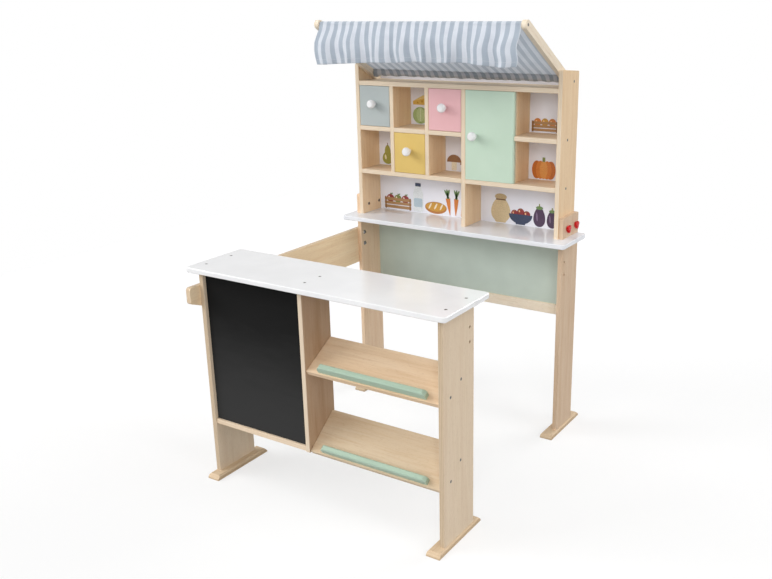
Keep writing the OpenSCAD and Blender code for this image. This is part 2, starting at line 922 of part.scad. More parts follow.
module drawer_box_pink() {
    drawer_box(drawer_pink_at);
}

module drawer_knob_pink() {
    drawer_knob(drawer_pink_at);
}

// Door: flat panel with a full round along the hinge edge, bored for the pins
module door() {
    bore_r = pin_d / 2 + pin_play;
    depth = pin_in_door + front_gap;
    color(mint) difference() {
        translate([0, 0, door_z0]) linear_extrude(door_z1 - door_z0) union() {
            translate([door_x0, unit_y0]) square([door_x - door_x0, board_t]);
            translate([door_x, door_y]) circle(door_r);
        }
        translate([door_x, door_y, door_z0 - cut]) cylinder(r = bore_r, h = depth + cut);
        translate([door_x, door_y, door_z1 - depth]) cylinder(r = bore_r, h = depth + cut);
    }
}

module door_knob() {
    knob(door_x0 + door_knob_in, (door_z0 + door_z1) / 2);
}

module door_pins() {
    l = pin_in_shelf + pin_in_door;
    color(steel) for (z = [low_z1 - pin_in_shelf, top_shelf_z0 - pin_in_door])
        translate([door_x, door_y, z]) cylinder(d = pin_d, h = l);
}

module door_stop() {
    low = [cupboard_x0, unit_y0 + board_t + door_back_gap / 3, top_shelf_z0 - stop_size[2]];
    color(wood) board(low, low + stop_size);
}

// Clamp knob: lobed head with a domed face, a hub and a moulded stud; out is +1 or -1 along X
module clamp_knob(x, y, out) {
    dome_r = 45;
    reach = 2 * board_t - stud_short;
    color(red) translate([x, y, clamp_z]) rotate([0, out * 90, 0]) {
        translate([0, 0, clamp_gap]) cylinder(r = clamp_hub_r, h = clamp_hub_l);
        translate([0, 0, clamp_gap + clamp_hub_l]) intersection() {
            linear_extrude(clamp_t) union() {
                circle(lobe_at);
                for (a = [0, 120, 240]) rotate(a) translate([lobe_at, 0]) circle(lobe_r);
            }
            translate([0, 0, clamp_t - dome_r]) sphere(dome_r);
        }
        translate([0, 0, -reach]) cylinder(d = stud_d, h = reach + clamp_gap + clamp_hub_l);
    }
}

module clamp_knob_left_front() {
    clamp_knob(frame_x0, clamp_y[0], -1);
}

module clamp_knob_left_rear() {
    clamp_knob(frame_x0, clamp_y[1], -1);
}

module clamp_knob_right_front() {
    clamp_knob(frame_x1, clamp_y[0], 1);
}

module clamp_knob_right_rear() {
    clamp_knob(frame_x1, clamp_y[1], 1);
}

// Threaded inserts in the side boards
module clamp_inserts() {
    bore_r = stud_d / 2 + stud_play;
    color(steel) for (y = clamp_y, x0 = [unit_x0, in_x1]) {
        difference() {
            translate([x0, y, clamp_z]) rotate([0, 90, 0]) cylinder(r = insert_r, h = board_t);
            hole_x(y, clamp_z, bore_r, x0, x0 + board_t);
        }
    }
}

// Awning arm: round tip at the front rod, lower end cut to stand on the top shelf and meet the back
module awning_arm(x0) {
    h = arm_w / 2;
    upper_tip = rod_at + across * h;
    lower_tip = rod_at - across * h;
    lower_s = (lower_tip[1] - arm_low_z) / -along[1];
    upper_s = (arm_end_y - upper_tip[0]) / along[0];
    color(wood) difference() {
        profile_x(x0, board_t) union() {
            translate(rod_at) circle(h);
            polygon([upper_tip, lower_tip, lower_tip + along * lower_s, [arm_end_y, arm_low_z],
                     upper_tip + along * upper_s]);
        }
        at_tip_screws() screw_hole();
        at_arm_screws() screw_hole(arm_screw_l);
        hole_x(rear_rod_at[0], rear_rod_at[1], rear_rod_d / 2 + rear_rod_play,
               arm_x0 + board_t - rear_rod_deep, arm_x1 - board_t + rear_rod_deep);
    }
}

module awning_arm_left() {
    awning_arm(arm_x0);
}

module awning_arm_right() {
    awning_arm(arm_x1 - board_t);
}

// Rod between the two arms, let into each by the same depth
module awning_rod(at, d, deep) {
    x0 = arm_x0 + board_t - deep;
    x1 = arm_x1 - board_t + deep;
    translate([x0, at[0], at[1]]) rotate([0, 90, 0]) cylinder(d = d, h = x1 - x0);
}

module awning_front_rod() {
    color(wood) difference() {
        awning_rod(rod_at, front_rod_d, 0);
        at_tip_screws() screw_hole();
    }
}

module awning_rear_rod() {
    color(wood) awning_rod(rear_rod_at, rear_rod_d, rear_rod_deep);
}

// Middle line of the cloth in Y and Z, from the sleeve on the rear rod over the slope and the
// front rod to the hanging edge; v runs from 0 to 1 on each stretch
rod_gap = 0.3;
sleeve_turn = 310;
front_arc = 90 + awning_tilt;
rear_steps = 6;
slope_steps = 4;
rod_steps = 3;
hang_steps = 4;

// Radius at the corners of the folded line, so that its flats clear the rod
function wrap_r(d, turn, steps) = (d / 2 + rod_gap + cloth_t / 2) / cos(turn / steps / 2);
rear_wrap_r = wrap_r(rear_rod_d, sleeve_turn, rear_steps);
front_wrap_r = wrap_r(front_rod_d, front_arc, rod_steps);
slope_from = rear_rod_at + across * rear_wrap_r;
slope_to = rod_at + across * front_wrap_r;

function slope_at(v) = slope_from + (slope_to - slope_from) * v - [0, cloth_sag * 4 * v * (1 - v)];
function front_turn(v) = awning_tilt - v * front_arc;
function over_rod(v) = rod_at + front_wrap_r * [sin(front_turn(v)), cos(front_turn(v))];
function hanging(v) = rod_at + [-front_wrap_r - valance_belly * sin(180 * v), -valance_h * v];
function rear_turn(v) = awning_tilt + sleeve_turn * (1 - v);
function round_rear(v) = rear_rod_at + rear_wrap_r * [sin(rear_turn(v)), cos(rear_turn(v))];

cloth_line = concat(
    [for (i = [0 : rear_steps - 1]) round_rear(i / rear_steps)],
    [for (i = [0 : slope_steps - 1]) slope_at(i / slope_steps)],
    [for (i = [0 : rod_steps - 1]) over_rod(i / rod_steps)],
    [for (i = [0 : hang_steps]) hanging(i / hang_steps)]
);
hang_from = len(cloth_line) - hang_steps - 1;
cloth_steps = 33;

// Share of the full fold depth at a point of the line, none before the hanging edge
function fold_share(i) = max(0, (i - hang_from) / hang_steps);
function fold_wave(u) = 0.5 - 0.5 * cos(360 * folds * u + 60 * sin(360 * 2 * u));

// Direction across the line, to set the two faces apart
function line_dir(i) = cloth_line[min(i + 1, len(cloth_line) - 1)] - cloth_line[max(i - 1, 0)];
function line_out(i) = [line_dir(i)[1], -line_dir(i)[0]] / norm(line_dir(i));

function cloth_point(u, i, side) =
    let (
        p = cloth_line[i] + line_out(i) * side * cloth_t / 2,
        fold = fold_depth * fold_share(i) * fold_wave(u)
    )
    [cloth_x0 + (cloth_x1 - cloth_x0) * u, p[0] - fold, p[1]];

// Cloth: one closed sheet with round folds along its hanging edge
module awning_cloth() {
    n = len(cloth_line);
    m = cloth_steps + 1;
    points = [for (side = [-1, 1], j = [0 : cloth_steps], i = [0 : n - 1])
        cloth_point(j / cloth_steps, i, side)];
    function at(side, j, i) = side * m * n + j * n + i;
    skins = [for (j = [0 : cloth_steps - 1], i = [0 : n - 2]) each [
        [at(0, j, i), at(0, j + 1, i), at(0, j + 1, i + 1), at(0, j, i + 1)],
        [at(1, j, i), at(1, j, i + 1), at(1, j + 1, i + 1), at(1, j + 1, i)]
    ]];
    ends = [for (i = [0 : n - 2]) each [
        [at(0, 0, i), at(0, 0, i + 1), at(1, 0, i + 1), at(1, 0, i)],
        [at(0, cloth_steps, i), at(1, cloth_steps, i), at(1, cloth_steps, i + 1), at(0, cloth_steps, i + 1)]
    ]];
    hems = [for (j = [0 : cloth_steps - 1]) each [
        [at(0, j, 0), at(1, j, 0), at(1, j + 1, 0), at(0, j + 1, 0)],
        [at(0, j, n - 1), at(0, j + 1, n - 1), at(1, j + 1, n - 1), at(1, j, n - 1)]
    ]];
    color(stripe_blue) polyhedron(points, concat(skins, ends, hems), convexity = 10);
}

counter_foot_left();
counter_foot_right();
counter_side_left();
counter_side_right();
counter_middle();
counter_top();
chalkboard();
chalk_rail();
display_shelf_upper();
display_shelf_lower();
stop_bar_upper();
stop_bar_lower();
counter_screws();
link_board();
link_bolts();
rear_foot_left();
rear_foot_right();
rear_leg_left();
rear_leg_right();
lower_back_panel();
lower_rail();
worktop();
side_board_left();
side_board_right();
top_shelf();
row_shelf();
low_shelf_left();
low_shelf_right();
cubby_shelf();
drawer_divider_1();
drawer_divider_2();
main_divider();
cupboard_divider();
upper_back_panel();
unit_screws();
drawer_front_blue();
drawer_box_blue();
drawer_knob_blue();
drawer_front_yellow();
drawer_box_yellow();
drawer_knob_yellow();
drawer_front_pink();
drawer_box_pink();
drawer_knob_pink();
door();
door_knob();
door_pins();
door_stop();
clamp_knob_left_front();
clamp_knob_left_rear();
clamp_knob_right_front();
clamp_knob_right_rear();
clamp_inserts();
awning_arm_left();
awning_arm_right();
awning_front_rod();
awning_rear_rod();
awning_cloth();
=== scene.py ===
import math

import bmesh
import bpy
from mathutils import Matrix, Vector, noise


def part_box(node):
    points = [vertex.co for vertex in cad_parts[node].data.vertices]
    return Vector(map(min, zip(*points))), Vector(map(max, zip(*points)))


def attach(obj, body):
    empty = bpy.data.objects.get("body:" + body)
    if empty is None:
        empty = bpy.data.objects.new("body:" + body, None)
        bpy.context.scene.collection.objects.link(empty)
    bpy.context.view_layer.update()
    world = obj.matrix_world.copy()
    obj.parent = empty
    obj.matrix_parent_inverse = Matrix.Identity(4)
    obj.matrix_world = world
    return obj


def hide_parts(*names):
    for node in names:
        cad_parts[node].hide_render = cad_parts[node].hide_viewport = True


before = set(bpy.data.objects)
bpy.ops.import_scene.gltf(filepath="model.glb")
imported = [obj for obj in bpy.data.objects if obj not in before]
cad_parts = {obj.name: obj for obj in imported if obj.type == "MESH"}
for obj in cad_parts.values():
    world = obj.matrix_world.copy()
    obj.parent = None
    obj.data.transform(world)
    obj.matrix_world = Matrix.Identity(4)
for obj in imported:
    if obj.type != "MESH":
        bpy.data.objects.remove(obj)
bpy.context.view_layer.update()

# Counter boards: two side boards, the middle board and the rail under the chalkboard.
# They are 12 mm birch boards with a clear satin lacquer, their edges eased by sanding.
# The side boards are glued into foot bars of the same wood.


def linear(code):
    parts = [int(code[i:i + 2], 16) / 255 for i in (1, 3, 5)]
    return [p / 12.92 if p <= 0.04045 else ((p + 0.055) / 1.055) ** 2.4 for p in parts] + [1.0]


def add(tree, kind, feeds=None, stops=None, **settings):
    node = tree.nodes.new(kind)
    for name, value in settings.items():
        setattr(node, name, value)
    if stops:
        bar = node.color_ramp.elements
        while len(bar) < len(stops):
            bar.new(0.5)
        for step, (place, code) in zip(bar, stops):
            step.position = place
            step.color = linear(code)
    for name, value in (feeds or {}).items():
        if isinstance(value, bpy.types.NodeSocket):
            tree.links.new(value, node.inputs[name])
        else:
            node.inputs[name].default_value = value
    return node


def new_material(name):
    made = bpy.data.materials.new(name)
    made.use_nodes = True
    made.node_tree.nodes.clear()
    return made, made.node_tree


def dress(names, made):
    for name in names:
        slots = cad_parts[name].data.materials
        slots.clear()
        slots.append(made)


# Birch, planed, sanded and lacquered: pale honey wood with soft darker bands that follow the
# grain, fine streaks between them and short brown pores. The pores are really 0.3 mm wide and
# are drawn 1.2 mm wide, so that they show. The larger boards and the feet are birch ply: their
# edges show the end grain of veneers 2 mm thick, one way and the other.
# The grain runs along one axis and turns with a sloping board. The shift moves the figure, so that
# boards of one wood differ, and ply names the axis along which the veneers are stacked.
x_way, y_way, z_way = 0, 1, 2
band_mm, streak_mm, pore_mm, veneer_mm = 24, 5, 1.2, 2
band_stops, veneer_stops = (0.30, 0.47, 0.60, 0.72), (0.3, 0.7)
grain_squeeze, pore_squeeze, pore_strength, edge_turn = 0.055, 0.12, 0.15, 0.9
wave_length_at_one = 2 * math.pi / 20


def birch(name, along, tones, shift=0.0, turn=(0, 0, 0), ply=None, veneers=None, streaky=0.15):
    made, tree = new_material(name)
    place = add(tree, "ShaderNodeTexCoord")
    turned = add(tree, "ShaderNodeMapping", {
        "Vector": place.outputs["Object"], "Rotation": turn, "Location": (shift, shift * 0.7, shift * 0.4)})
    squeeze = [1.0, 1.0, 1.0]
    squeeze[along] = grain_squeeze
    lie = add(tree, "ShaderNodeMapping", {"Vector": turned.outputs[0], "Scale": squeeze})
    bands = add(tree, "ShaderNodeTexNoise", {
        "Vector": lie.outputs[0], "Scale": 1000 / band_mm, "Detail": 3.0, "Roughness": 0.5,
        "Distortion": 0.9})
    streaks = add(tree, "ShaderNodeTexNoise", {
        "Vector": lie.outputs[0], "Scale": 1000 / streak_mm, "Detail": 2.0, "Roughness": 0.6,
        "Distortion": 0.3})
    squeeze[along] = pore_squeeze
    short = add(tree, "ShaderNodeMapping", {"Vector": turned.outputs[0], "Scale": squeeze})
    pores = add(tree, "ShaderNodeTexNoise", {
        "Vector": short.outputs[0], "Scale": 1000 / pore_mm, "Detail": 1.0, "Roughness": 0.5})
    ground = add(tree, "ShaderNodeValToRGB", {"Fac": bands.outputs["Fac"]}, list(zip(band_stops, tones)))
    dark = add(tree, "ShaderNodeValToRGB", {"Fac": streaks.outputs["Fac"]}, [
        (0.34, "#d9bc97"), (0.52, "#ffffff")])
    grained = add(tree, "ShaderNodeMix", {0: streaky, 6: ground.outputs["Color"], 7: dark.outputs["Color"]},
                  data_type="RGBA", blend_type="MULTIPLY")
    fleck = add(tree, "ShaderNodeValToRGB", {"Fac": pores.outputs["Fac"]}, [
        (0.30, "#a98562"), (0.40, "#ffffff")])
    wood = add(tree, "ShaderNodeMix", {0: pore_strength, 6: grained.outputs[2], 7: fleck.outputs["Color"]},
               data_type="RGBA", blend_type="MULTIPLY")
    if ply is not None:
        veneer_pair = 2 * veneer_mm / 1000
        veneer = add(tree, "ShaderNodeTexWave", {
            "Vector": place.outputs["Object"], "Scale": wave_length_at_one / veneer_pair, "Distortion": 0.4},
            bands_direction="XYZ"[ply])
        layer = add(tree, "ShaderNodeValToRGB", {"Fac": veneer.outputs["Fac"]},
                    list(zip(veneer_stops, veneers)))
        facing = add(tree, "ShaderNodeSeparateXYZ", {0: place.outputs["Normal"]})
        flat = add(tree, "ShaderNodeMath", {0: facing.outputs[ply]}, operation="ABSOLUTE")
        edge = add(tree, "ShaderNodeMath", {0: edge_turn, 1: flat.outputs[0]},
                   operation="SUBTRACT", use_clamp=True)
        wood = add(tree, "ShaderNodeMix", {0: edge.outputs[0], 6: wood.outputs[2], 7: layer.outputs["Color"]},
                   data_type="RGBA")
    gloss = add(tree, "ShaderNodeMapRange", {
        "Value": streaks.outputs["Fac"], "From Min": 0.3, "From Max": 0.7, "To Min": 0.62, "To Max": 0.5})
    relief = add(tree, "ShaderNodeBump", {
        "Height": pores.outputs["Fac"], "Strength": 0.25, "Distance": 0.0003})
    skin = add(tree, "ShaderNodeBsdfPrincipled", {
        "Base Color": wood.outputs[2], "Roughness": gloss.outputs[0], "Normal": relief.outputs[0],
        "IOR": 1.5, "Specular IOR Level": 0.2})
    add(tree, "ShaderNodeOutputMaterial", {"Surface": skin.outputs[0]})
    return made


plain_birch, dull_veneers = ("#dac5ab", "#ddc9b0", "#dfccb3", "#dbc7ad"), ("#b9a388", "#cdb99e")
dress(["counter_side_left", "counter_side_right"],
      birch("birch_ply_grain_upright", z_way, plain_birch, ply=x_way, veneers=dull_veneers, streaky=0.08))
# The middle board's birch is painted darker and redder than its neighbours: painted shade, for the shade
# under the counter top on its right face.
birch_darkened_as_painted_shade, pale_veneers = ("#ae9073", "#b5987d", "#b89c81", "#b19377"), ("#ddcab0", "#e9d9c3")
dress(["counter_middle"],
      birch("birch_ply_upright_painted_shade", z_way, birch_darkened_as_painted_shade, shift=0.6, ply=x_way, veneers=pale_veneers))
pale_birch = ("#dfc8aa", "#e4cfb4", "#e6d2b9", "#e1caae")
birch_across = birch("birch_grain_across", x_way, pale_birch)
dress(["chalk_rail"], birch_across)
foot_birch, foot_veneers = ("#d2b997", "#d7bfa0", "#dac3a5", "#d4bb9b"), ("#b89d7c", "#cfb696")
foot_ply = birch("birch_ply_grain_front_to_back", y_way, foot_birch, ply=z_way, veneers=foot_veneers)
dress(["counter_foot_left", "counter_foot_right"], foot_ply)


# Counter top and worktop: boards with sprayed white lacquer on every face.
# The counter top is screwed down from above; the worktop is notched round the rear legs.


# White lacquer, sprayed and left glossy: an even white with a very slight cloudiness over 70 mm, a
# faint orange-peel ripple 4 mm across and soft reflections of what stands on it.
def lacquer(name, deep, pale, roughness):
    made, tree = new_material(name)
    place = add(tree, "ShaderNodeTexCoord")
    cloud = add(tree, "ShaderNodeTexNoise", {
        "Vector": place.outputs["Object"], "Scale": 1000 / 70, "Detail": 2.0})
    peel = add(tree, "ShaderNodeTexNoise", {
        "Vector": place.outputs["Object"], "Scale": 1000 / 4, "Detail": 1.0})
    tone = add(tree, "ShaderNodeValToRGB", {"Fac": cloud.outputs["Fac"]}, [(0.3, deep), (0.7, pale)])
    gloss = add(tree, "ShaderNodeMapRange", {
        "Value": cloud.outputs["Fac"], "From Min": 0.3, "From Max": 0.7, "To Min": roughness,
        "To Max": 1.2 * roughness})
    ripple = add(tree, "ShaderNodeBump", {
        "Height": peel.outputs["Fac"], "Strength": 0.06, "Distance": 0.0004})
    skin = add(tree, "ShaderNodeBsdfPrincipled", {
        "Base Color": tone.outputs["Color"], "Roughness": gloss.outputs[0], "Normal": ripple.outputs[0],
        "IOR": 1.5})
    add(tree, "ShaderNodeOutputMaterial", {"Surface": skin.outputs[0]})
    return made


white_lacquer = lacquer("white_lacquer_sprayed", "#e9e9ea", "#eeeeef", 0.12)
dress(["counter_top"], white_lacquer)
dress(["worktop"], lacquer("white_lacquer_polished", "#e5e7ec", "#eaecf1", 0.045))


# Chalkboard: a thin hardboard panel let into grooves of the counter boards and the rail.
# It is painted with matt chalkboard paint on its front.


# Chalkboard paint, rolled: a matt charcoal with a grit 1.5 mm across and paler wiped streaks of old chalk
# dust, about 40 mm wide, lying askew. The board is also painted darker towards its top and paler towards its
# foot, as painted shade under the counter top.
chalk_paint, tree = new_material("chalkboard_paint_rolled")
place = add(tree, "ShaderNodeTexCoord")
wiped = add(tree, "ShaderNodeMapping", {
    "Vector": place.outputs["Object"], "Rotation": (0, math.radians(28), 0), "Scale": (0.25, 1, 1)})
dust = add(tree, "ShaderNodeTexNoise", {
    "Vector": wiped.outputs[0], "Scale": 1000 / 40, "Detail": 4.0, "Roughness": 0.6, "Distortion": 0.5})
grit = add(tree, "ShaderNodeTexNoise", {
    "Vector": place.outputs["Object"], "Scale": 1000 / 1.5, "Detail": 2.0})
board_low, board_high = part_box("chalkboard")
height = add(tree, "ShaderNodeSeparateXYZ", {0: place.outputs["Object"]})
# Painted shade: darker towards the top of the board, under the counter top, and paler towards its foot.
painted_shade_by_height = add(tree, "ShaderNodeMapRange", {
    "Value": height.outputs["Z"], "From Min": board_low[2], "From Max": board_high[2],
    "To Min": 0.9, "To Max": -0.1})
dust_and_painted_shade = add(tree, "ShaderNodeMath", {0: dust.outputs["Fac"], 1: 0.2, 2: painted_shade_by_height.outputs[0]},
            operation="MULTIPLY_ADD")
tone = add(tree, "ShaderNodeValToRGB", {"Fac": dust_and_painted_shade.outputs[0]}, [
    (0.08, "#101010"), (0.28, "#171717"), (0.48, "#262626"), (0.69, "#313131"), (0.9, "#353535")])
gloss = add(tree, "ShaderNodeMapRange", {
    "Value": grit.outputs["Fac"], "From Min": 0.3, "From Max": 0.7, "To Min": 0.7, "To Max": 0.9})
ripple = add(tree, "ShaderNodeBump", {"Height": grit.outputs["Fac"], "Strength": 0.2, "Distance": 0.0003})
skin = add(tree, "ShaderNodeBsdfPrincipled", {
    "Base Color": tone.outputs["Color"], "Roughness": gloss.outputs[0], "Normal": ripple.outputs[0],
    "IOR": 1.5, "Specular IOR Level": 0.08})
add(tree, "ShaderNodeOutputMaterial", {"Surface": skin.outputs[0]})
dress(["chalkboard"], chalk_paint)


# Display shelves: two sloping birch boards, screwed from the side, each with a square bar along
# its front that stops the goods. The bars are glued on and painted mint.
shelf_birch = ("#dcbf9e", "#e2c7a7", "#e4cbad", "#dec2a2")
dress(["display_shelf_upper"], birch("birch_grain_across_shelf", x_way, shelf_birch, shift=1.7))
dusky_birch = ("#cdb495", "#d2bc9e", "#d4c0a4", "#cfb799")
dress(["display_shelf_lower"], birch("birch_grain_across_shelf_dusky", x_way, dusky_birch, shift=2.3))


# Satin paint on smooth board or wood: a flat colour whose depth drifts a little over 60 mm, with
# the fine stipple of a foam roller, 2 mm across, in its sheen.
def satin_paint(name, pale, deep):
    made, tree = new_material(name)
    place = add(tree, "ShaderNodeTexCoord")
    drift = add(tree, "ShaderNodeTexNoise", {
        "Vector": place.outputs["Object"], "Scale": 1000 / 60, "Detail": 3.0})
    stipple = add(tree, "ShaderNodeTexNoise", {
        "Vector": place.outputs["Object"], "Scale": 1000 / 2, "Detail": 2.0})
    tone = add(tree, "ShaderNodeValToRGB", {"Fac": drift.outputs["Fac"]}, [(0.3, deep), (0.7, pale)])
    gloss = add(tree, "ShaderNodeMapRange", {
        "Value": stipple.outputs["Fac"], "From Min": 0.3, "From Max": 0.7, "To Min": 0.38, "To Max": 0.52})
    relief = add(tree, "ShaderNodeBump", {
        "Height": stipple.outputs["Fac"], "Strength": 0.15, "Distance": 0.0003})
    skin = add(tree, "ShaderNodeBsdfPrincipled", {
        "Base Color": tone.outputs["Color"], "Roughness": gloss.outputs[0], "Normal": relief.outputs[0],
        "IOR": 1.5, "Specular IOR Level": 0.4})
    add(tree, "ShaderNodeOutputMaterial", {"Surface": skin.outputs[0]})
    return made


dress(["stop_bar_upper", "stop_bar_lower"], satin_paint("mint_satin_paint", "#a8bfac", "#a2b9a6"))


# Screws, bolts, hinge pins and threaded inserts: turned or headed from steel wire.
# The screws have countersunk cross heads and hold the top, the shelves and the shelf unit.


# Zinc-plated steel: a cool grey metal, duller in blotches about 3 mm wide.
zinc, tree = new_material("zinc_plated_steel")
place = add(tree, "ShaderNodeTexCoord")
blotch = add(tree, "ShaderNodeTexNoise", {
    "Vector": place.outputs["Object"], "Scale": 1000 / 3, "Detail": 3.0})
tone = add(tree, "ShaderNodeValToRGB", {"Fac": blotch.outputs["Fac"]}, [(0.3, "#6b6967"), (0.7, "#8d8b88")])
gloss = add(tree, "ShaderNodeMapRange", {
    "Value": blotch.outputs["Fac"], "From Min": 0.3, "From Max": 0.7, "To Min": 0.45, "To Max": 0.3})
skin = add(tree, "ShaderNodeBsdfPrincipled", {
    "Base Color": tone.outputs["Color"], "Roughness": gloss.outputs[0], "Metallic": 1.0})
add(tree, "ShaderNodeOutputMaterial", {"Surface": skin.outputs[0]})
dress(["counter_screws", "unit_screws", "link_bolts", "door_pins", "clamp_inserts"], zinc)


# Link board: a birch board that ties the counter to the rear frame on the left-hand side.
# Two bolts at each end go through it and the board beside it.
# The link board's birch is painted paler than the rest of the wood: painted light, to make up for the shade
# that falls on its inner face.
birch_lightened_as_painted_light, link_veneers = ("#efd2ac", "#f4dab5", "#f6debb", "#f0d5b0"), ("#b99b79", "#ead8bf")
dress(["link_board"],
      birch("birch_ply_grain_deep_link_painted_light", y_way, birch_lightened_as_painted_light, shift=2.3, ply=x_way, veneers=link_veneers))


# Rear frame: two birch legs glued into foot bars, a rail, and a painted panel between them.
# The legs stand up through the worktop as tabs that the shelf unit is clamped to.
# The two legs are one birch in two copies: the left leg's is painted paler, as painted light against the
# shade that falls on it below the worktop, and the right leg's is painted darker, as painted shade.
left_leg_birch_painted_light = ("#e9c9a7", "#efd1b1", "#f1d5b7", "#ebccab")
dress(["rear_leg_left"], birch("birch_grain_upright_leg_painted_light", z_way, left_leg_birch_painted_light, shift=2.7))
right_leg_birch_painted_shade = ("#d0b496", "#d4ba9f", "#d6bea4", "#d2b599")
dress(["rear_leg_right"], birch("birch_grain_upright_leg_painted_shade", z_way, right_leg_birch_painted_shade, shift=3.1))
dress(["rear_foot_left", "rear_foot_right"], foot_ply)
white_birch = ("#ead9c0", "#eee0ca", "#f0e3cf", "#ecdcc5")
dress(["lower_rail"], birch("birch_grain_across_rail", x_way, white_birch, shift=0.3))
dress(["lower_back_panel"], satin_paint("sage_satin_paint", "#c4d1c7", "#becbc1"))


# Shelf unit: birch side boards, shelves and dividers, glued and screwed together.
# A thin white back panel lies in grooves of the side boards.
honey_birch = ("#e3c49e", "#e9cca7", "#ebd0ad", "#e5c7a2")
unit_upright = birch("birch_ply_grain_upright_rear", z_way, honey_birch, shift=3.1, ply=x_way,
                     veneers=pale_veneers)
dress(["side_board_left", "side_board_right", "drawer_divider_1", "drawer_divider_2", "main_divider",
       "cupboard_divider"], unit_upright)
dress(["top_shelf", "row_shelf", "low_shelf_left", "low_shelf_right", "cubby_shelf"],
      birch("birch_ply_grain_across", x_way, pale_birch, ply=z_way, veneers=pale_veneers))
dress(["upper_back_panel"], lacquer("white_lacquer_cool", "#e6e8f1", "#ecedf6", 0.2))


# Pictures of groceries printed on the back panel: fruit, vegetables, bread and cheese, each
# standing on the floor of its bay. They are flat shapes 0.1 mm apart, as layers of ink. Each kind has
# a function, which takes its place and width in millimetres and draws it in shares of that width.
panel_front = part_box("upper_back_panel")[0][1]
ink_gap, ink_step, floor_gap_mm = 0.0003, 0.0001, 2
worktop_up, low_up, row_up = (
    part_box(name)[1][2] * 1000 + floor_gap_mm for name in ("worktop", "low_shelf_left", "row_shelf"))
ink = bmesh.new()
ink_colour = ink.faces.layers.float_vector.new("ink")
olive, dark_red, orange, navy = "#7f8a45", "#96383a", "#d7813c", "#38425e"
brown, amber, cream, leaf_green = "#7a5740", "#d09a3c", "#efe4cc", "#6f8f5a"


def printed(outline, code, layer):
    y = panel_front - ink_gap - layer * ink_step
    face = ink.faces.new([ink.verts.new((x / 1000, y, z / 1000)) for x, z in outline])
    face.normal_update()
    if face.normal.y > 0:
        face.normal_flip()
    face[ink_colour] = linear(code)[:3]


def placed(points, x, z, turn):
    c, s = math.cos(math.radians(turn)), math.sin(math.radians(turn))
    return [(x + px * c - pz * s, z + px * s + pz * c) for px, pz in points]


def oval(x, z, wide, high, turn=0.0, squeeze=0.0, count=36):
    points = []
    for i in range(count):
        a = 2 * math.pi * i / count
        points.append((wide / 2 * math.cos(a) * (1 - squeeze * math.sin(a)), high / 2 * math.sin(a)))
    return placed(points, x, z, turn)


def block(x0, z0, x1, z1, r=3.0, count=6):
    points = []
    corners = ((x1 - r, z0 + r, -90), (x1 - r, z1 - r, 0), (x0 + r, z1 - r, 90), (x0 + r, z0 + r, 180))
    for cx, cz, first in corners:
        for i in range(count + 1):
            a = math.radians(first + 90 * i / count)
            points.append((cx + r * math.cos(a), cz + r * math.sin(a)))
    return points


def apple(x, z, d, code):
    printed(oval(x, z + d * 0.48, d, d * 0.92, squeeze=-0.08), code, 1)
    printed(oval(x - d * 0.2, z + d * 0.6, d * 0.18, d * 0.3, 20), "#f4e6d6", 2)
    printed(block(x - 1, z + d * 0.86, x + 1, z + d * 1.1, 0.9), brown, 2)
    printed(oval(x + d * 0.18, z + d * 1.02, d * 0.34, d * 0.15, 25), leaf_green, 3)


def pear(x, z, w, code):
    printed(oval(x, z + w * 0.5, w, w, squeeze=0.1), code, 1)
    printed(oval(x, z + w * 1.05, w * 0.56, w * 0.95, squeeze=0.1), code, 2)
    printed(oval(x - w * 0.2, z + w * 0.55, w * 0.16, w * 0.4, 8), "#f1e9c4", 3)
    printed(block(x - 1, z + w * 1.45, x + 1, z + w * 1.7, 0.9), brown, 3)


def loaf(x, z, w):
    printed(oval(x, z + w * 0.24, w, w * 0.48, squeeze=-0.05), "#b9793b", 1)
    printed(oval(x, z + w * 0.28, w * 0.92, w * 0.36), amber, 2)
    for i in (-0.26, 0.0, 0.26):
        printed(oval(x + i * w, z + w * 0.3, w * 0.07, w * 0.28, -28), cream, 3)


def cheese(x, z, w):
    left, right, thin, thick = x - w / 2, x + w / 2, z + w * 0.2, z + w * 0.42
    printed([(left, z), (right, z), (right, thick), (left, thin)], "#e3b95a", 1)
    printed([(left, thin), (right, thick), (x + w * 0.2, z + w * 0.56)], "#efd38a", 1)
    for dx, dz, d in ((-0.18, 0.12, 0.11), (0.12, 0.2, 0.15), (0.32, 0.1, 0.1), (0.3, 0.32, 0.08)):
        printed(oval(x + dx * w, z + dz * w, d * w, d * w), "#c9963a", 2)


def milk(x, z, w):
    printed(block(x - w / 2, z, x + w / 2, z + w * 1.7, 5), "#e7ecef", 1)
    printed([(x - w / 2, z + w * 1.6), (x + w / 2, z + w * 1.6), (x + w * 0.24, z + w * 2.2),
             (x - w * 0.24, z + w * 2.2)], "#e7ecef", 2)
    printed(block(x - w * 0.28, z + w * 2.16, x + w * 0.28, z + w * 2.45, 2), navy, 3)
    printed(block(x - w * 0.42, z + w * 0.4, x + w * 0.42, z + w * 1.15, 4), "#b9cbd6", 3)


def crate(x, z, w, codes, fruit, count):
    step, slat = w * 0.84 / count, w * 0.12
    for i in range(count):
        fruit(x - w * 0.42 + step * (i + 0.5), z + w * 0.2, step * 0.98, codes[i % len(codes)])
    for i in range(3):
        printed(block(x - w / 2, z + 2 + i * slat, x + w / 2, z + 1 + (i + 0.86) * slat, 1), "#b58a5c", 5)
    for side in (-1, 1):
        printed(block(x + side * w * 0.46 - 2.5, z, x + side * w * 0.46 + 2.5, z + w * 0.38, 1), "#92683f", 6)


def orange_fruit(x, z, d, code):
    printed(oval(x, z + d * 0.5, d, d), code, 1)
    printed(oval(x - d * 0.18, z + d * 0.62, d * 0.2, d * 0.26, 20), "#f3c48c", 2)
    printed(oval(x, z + d * 0.9, d * 0.16, d * 0.1), leaf_green, 2)


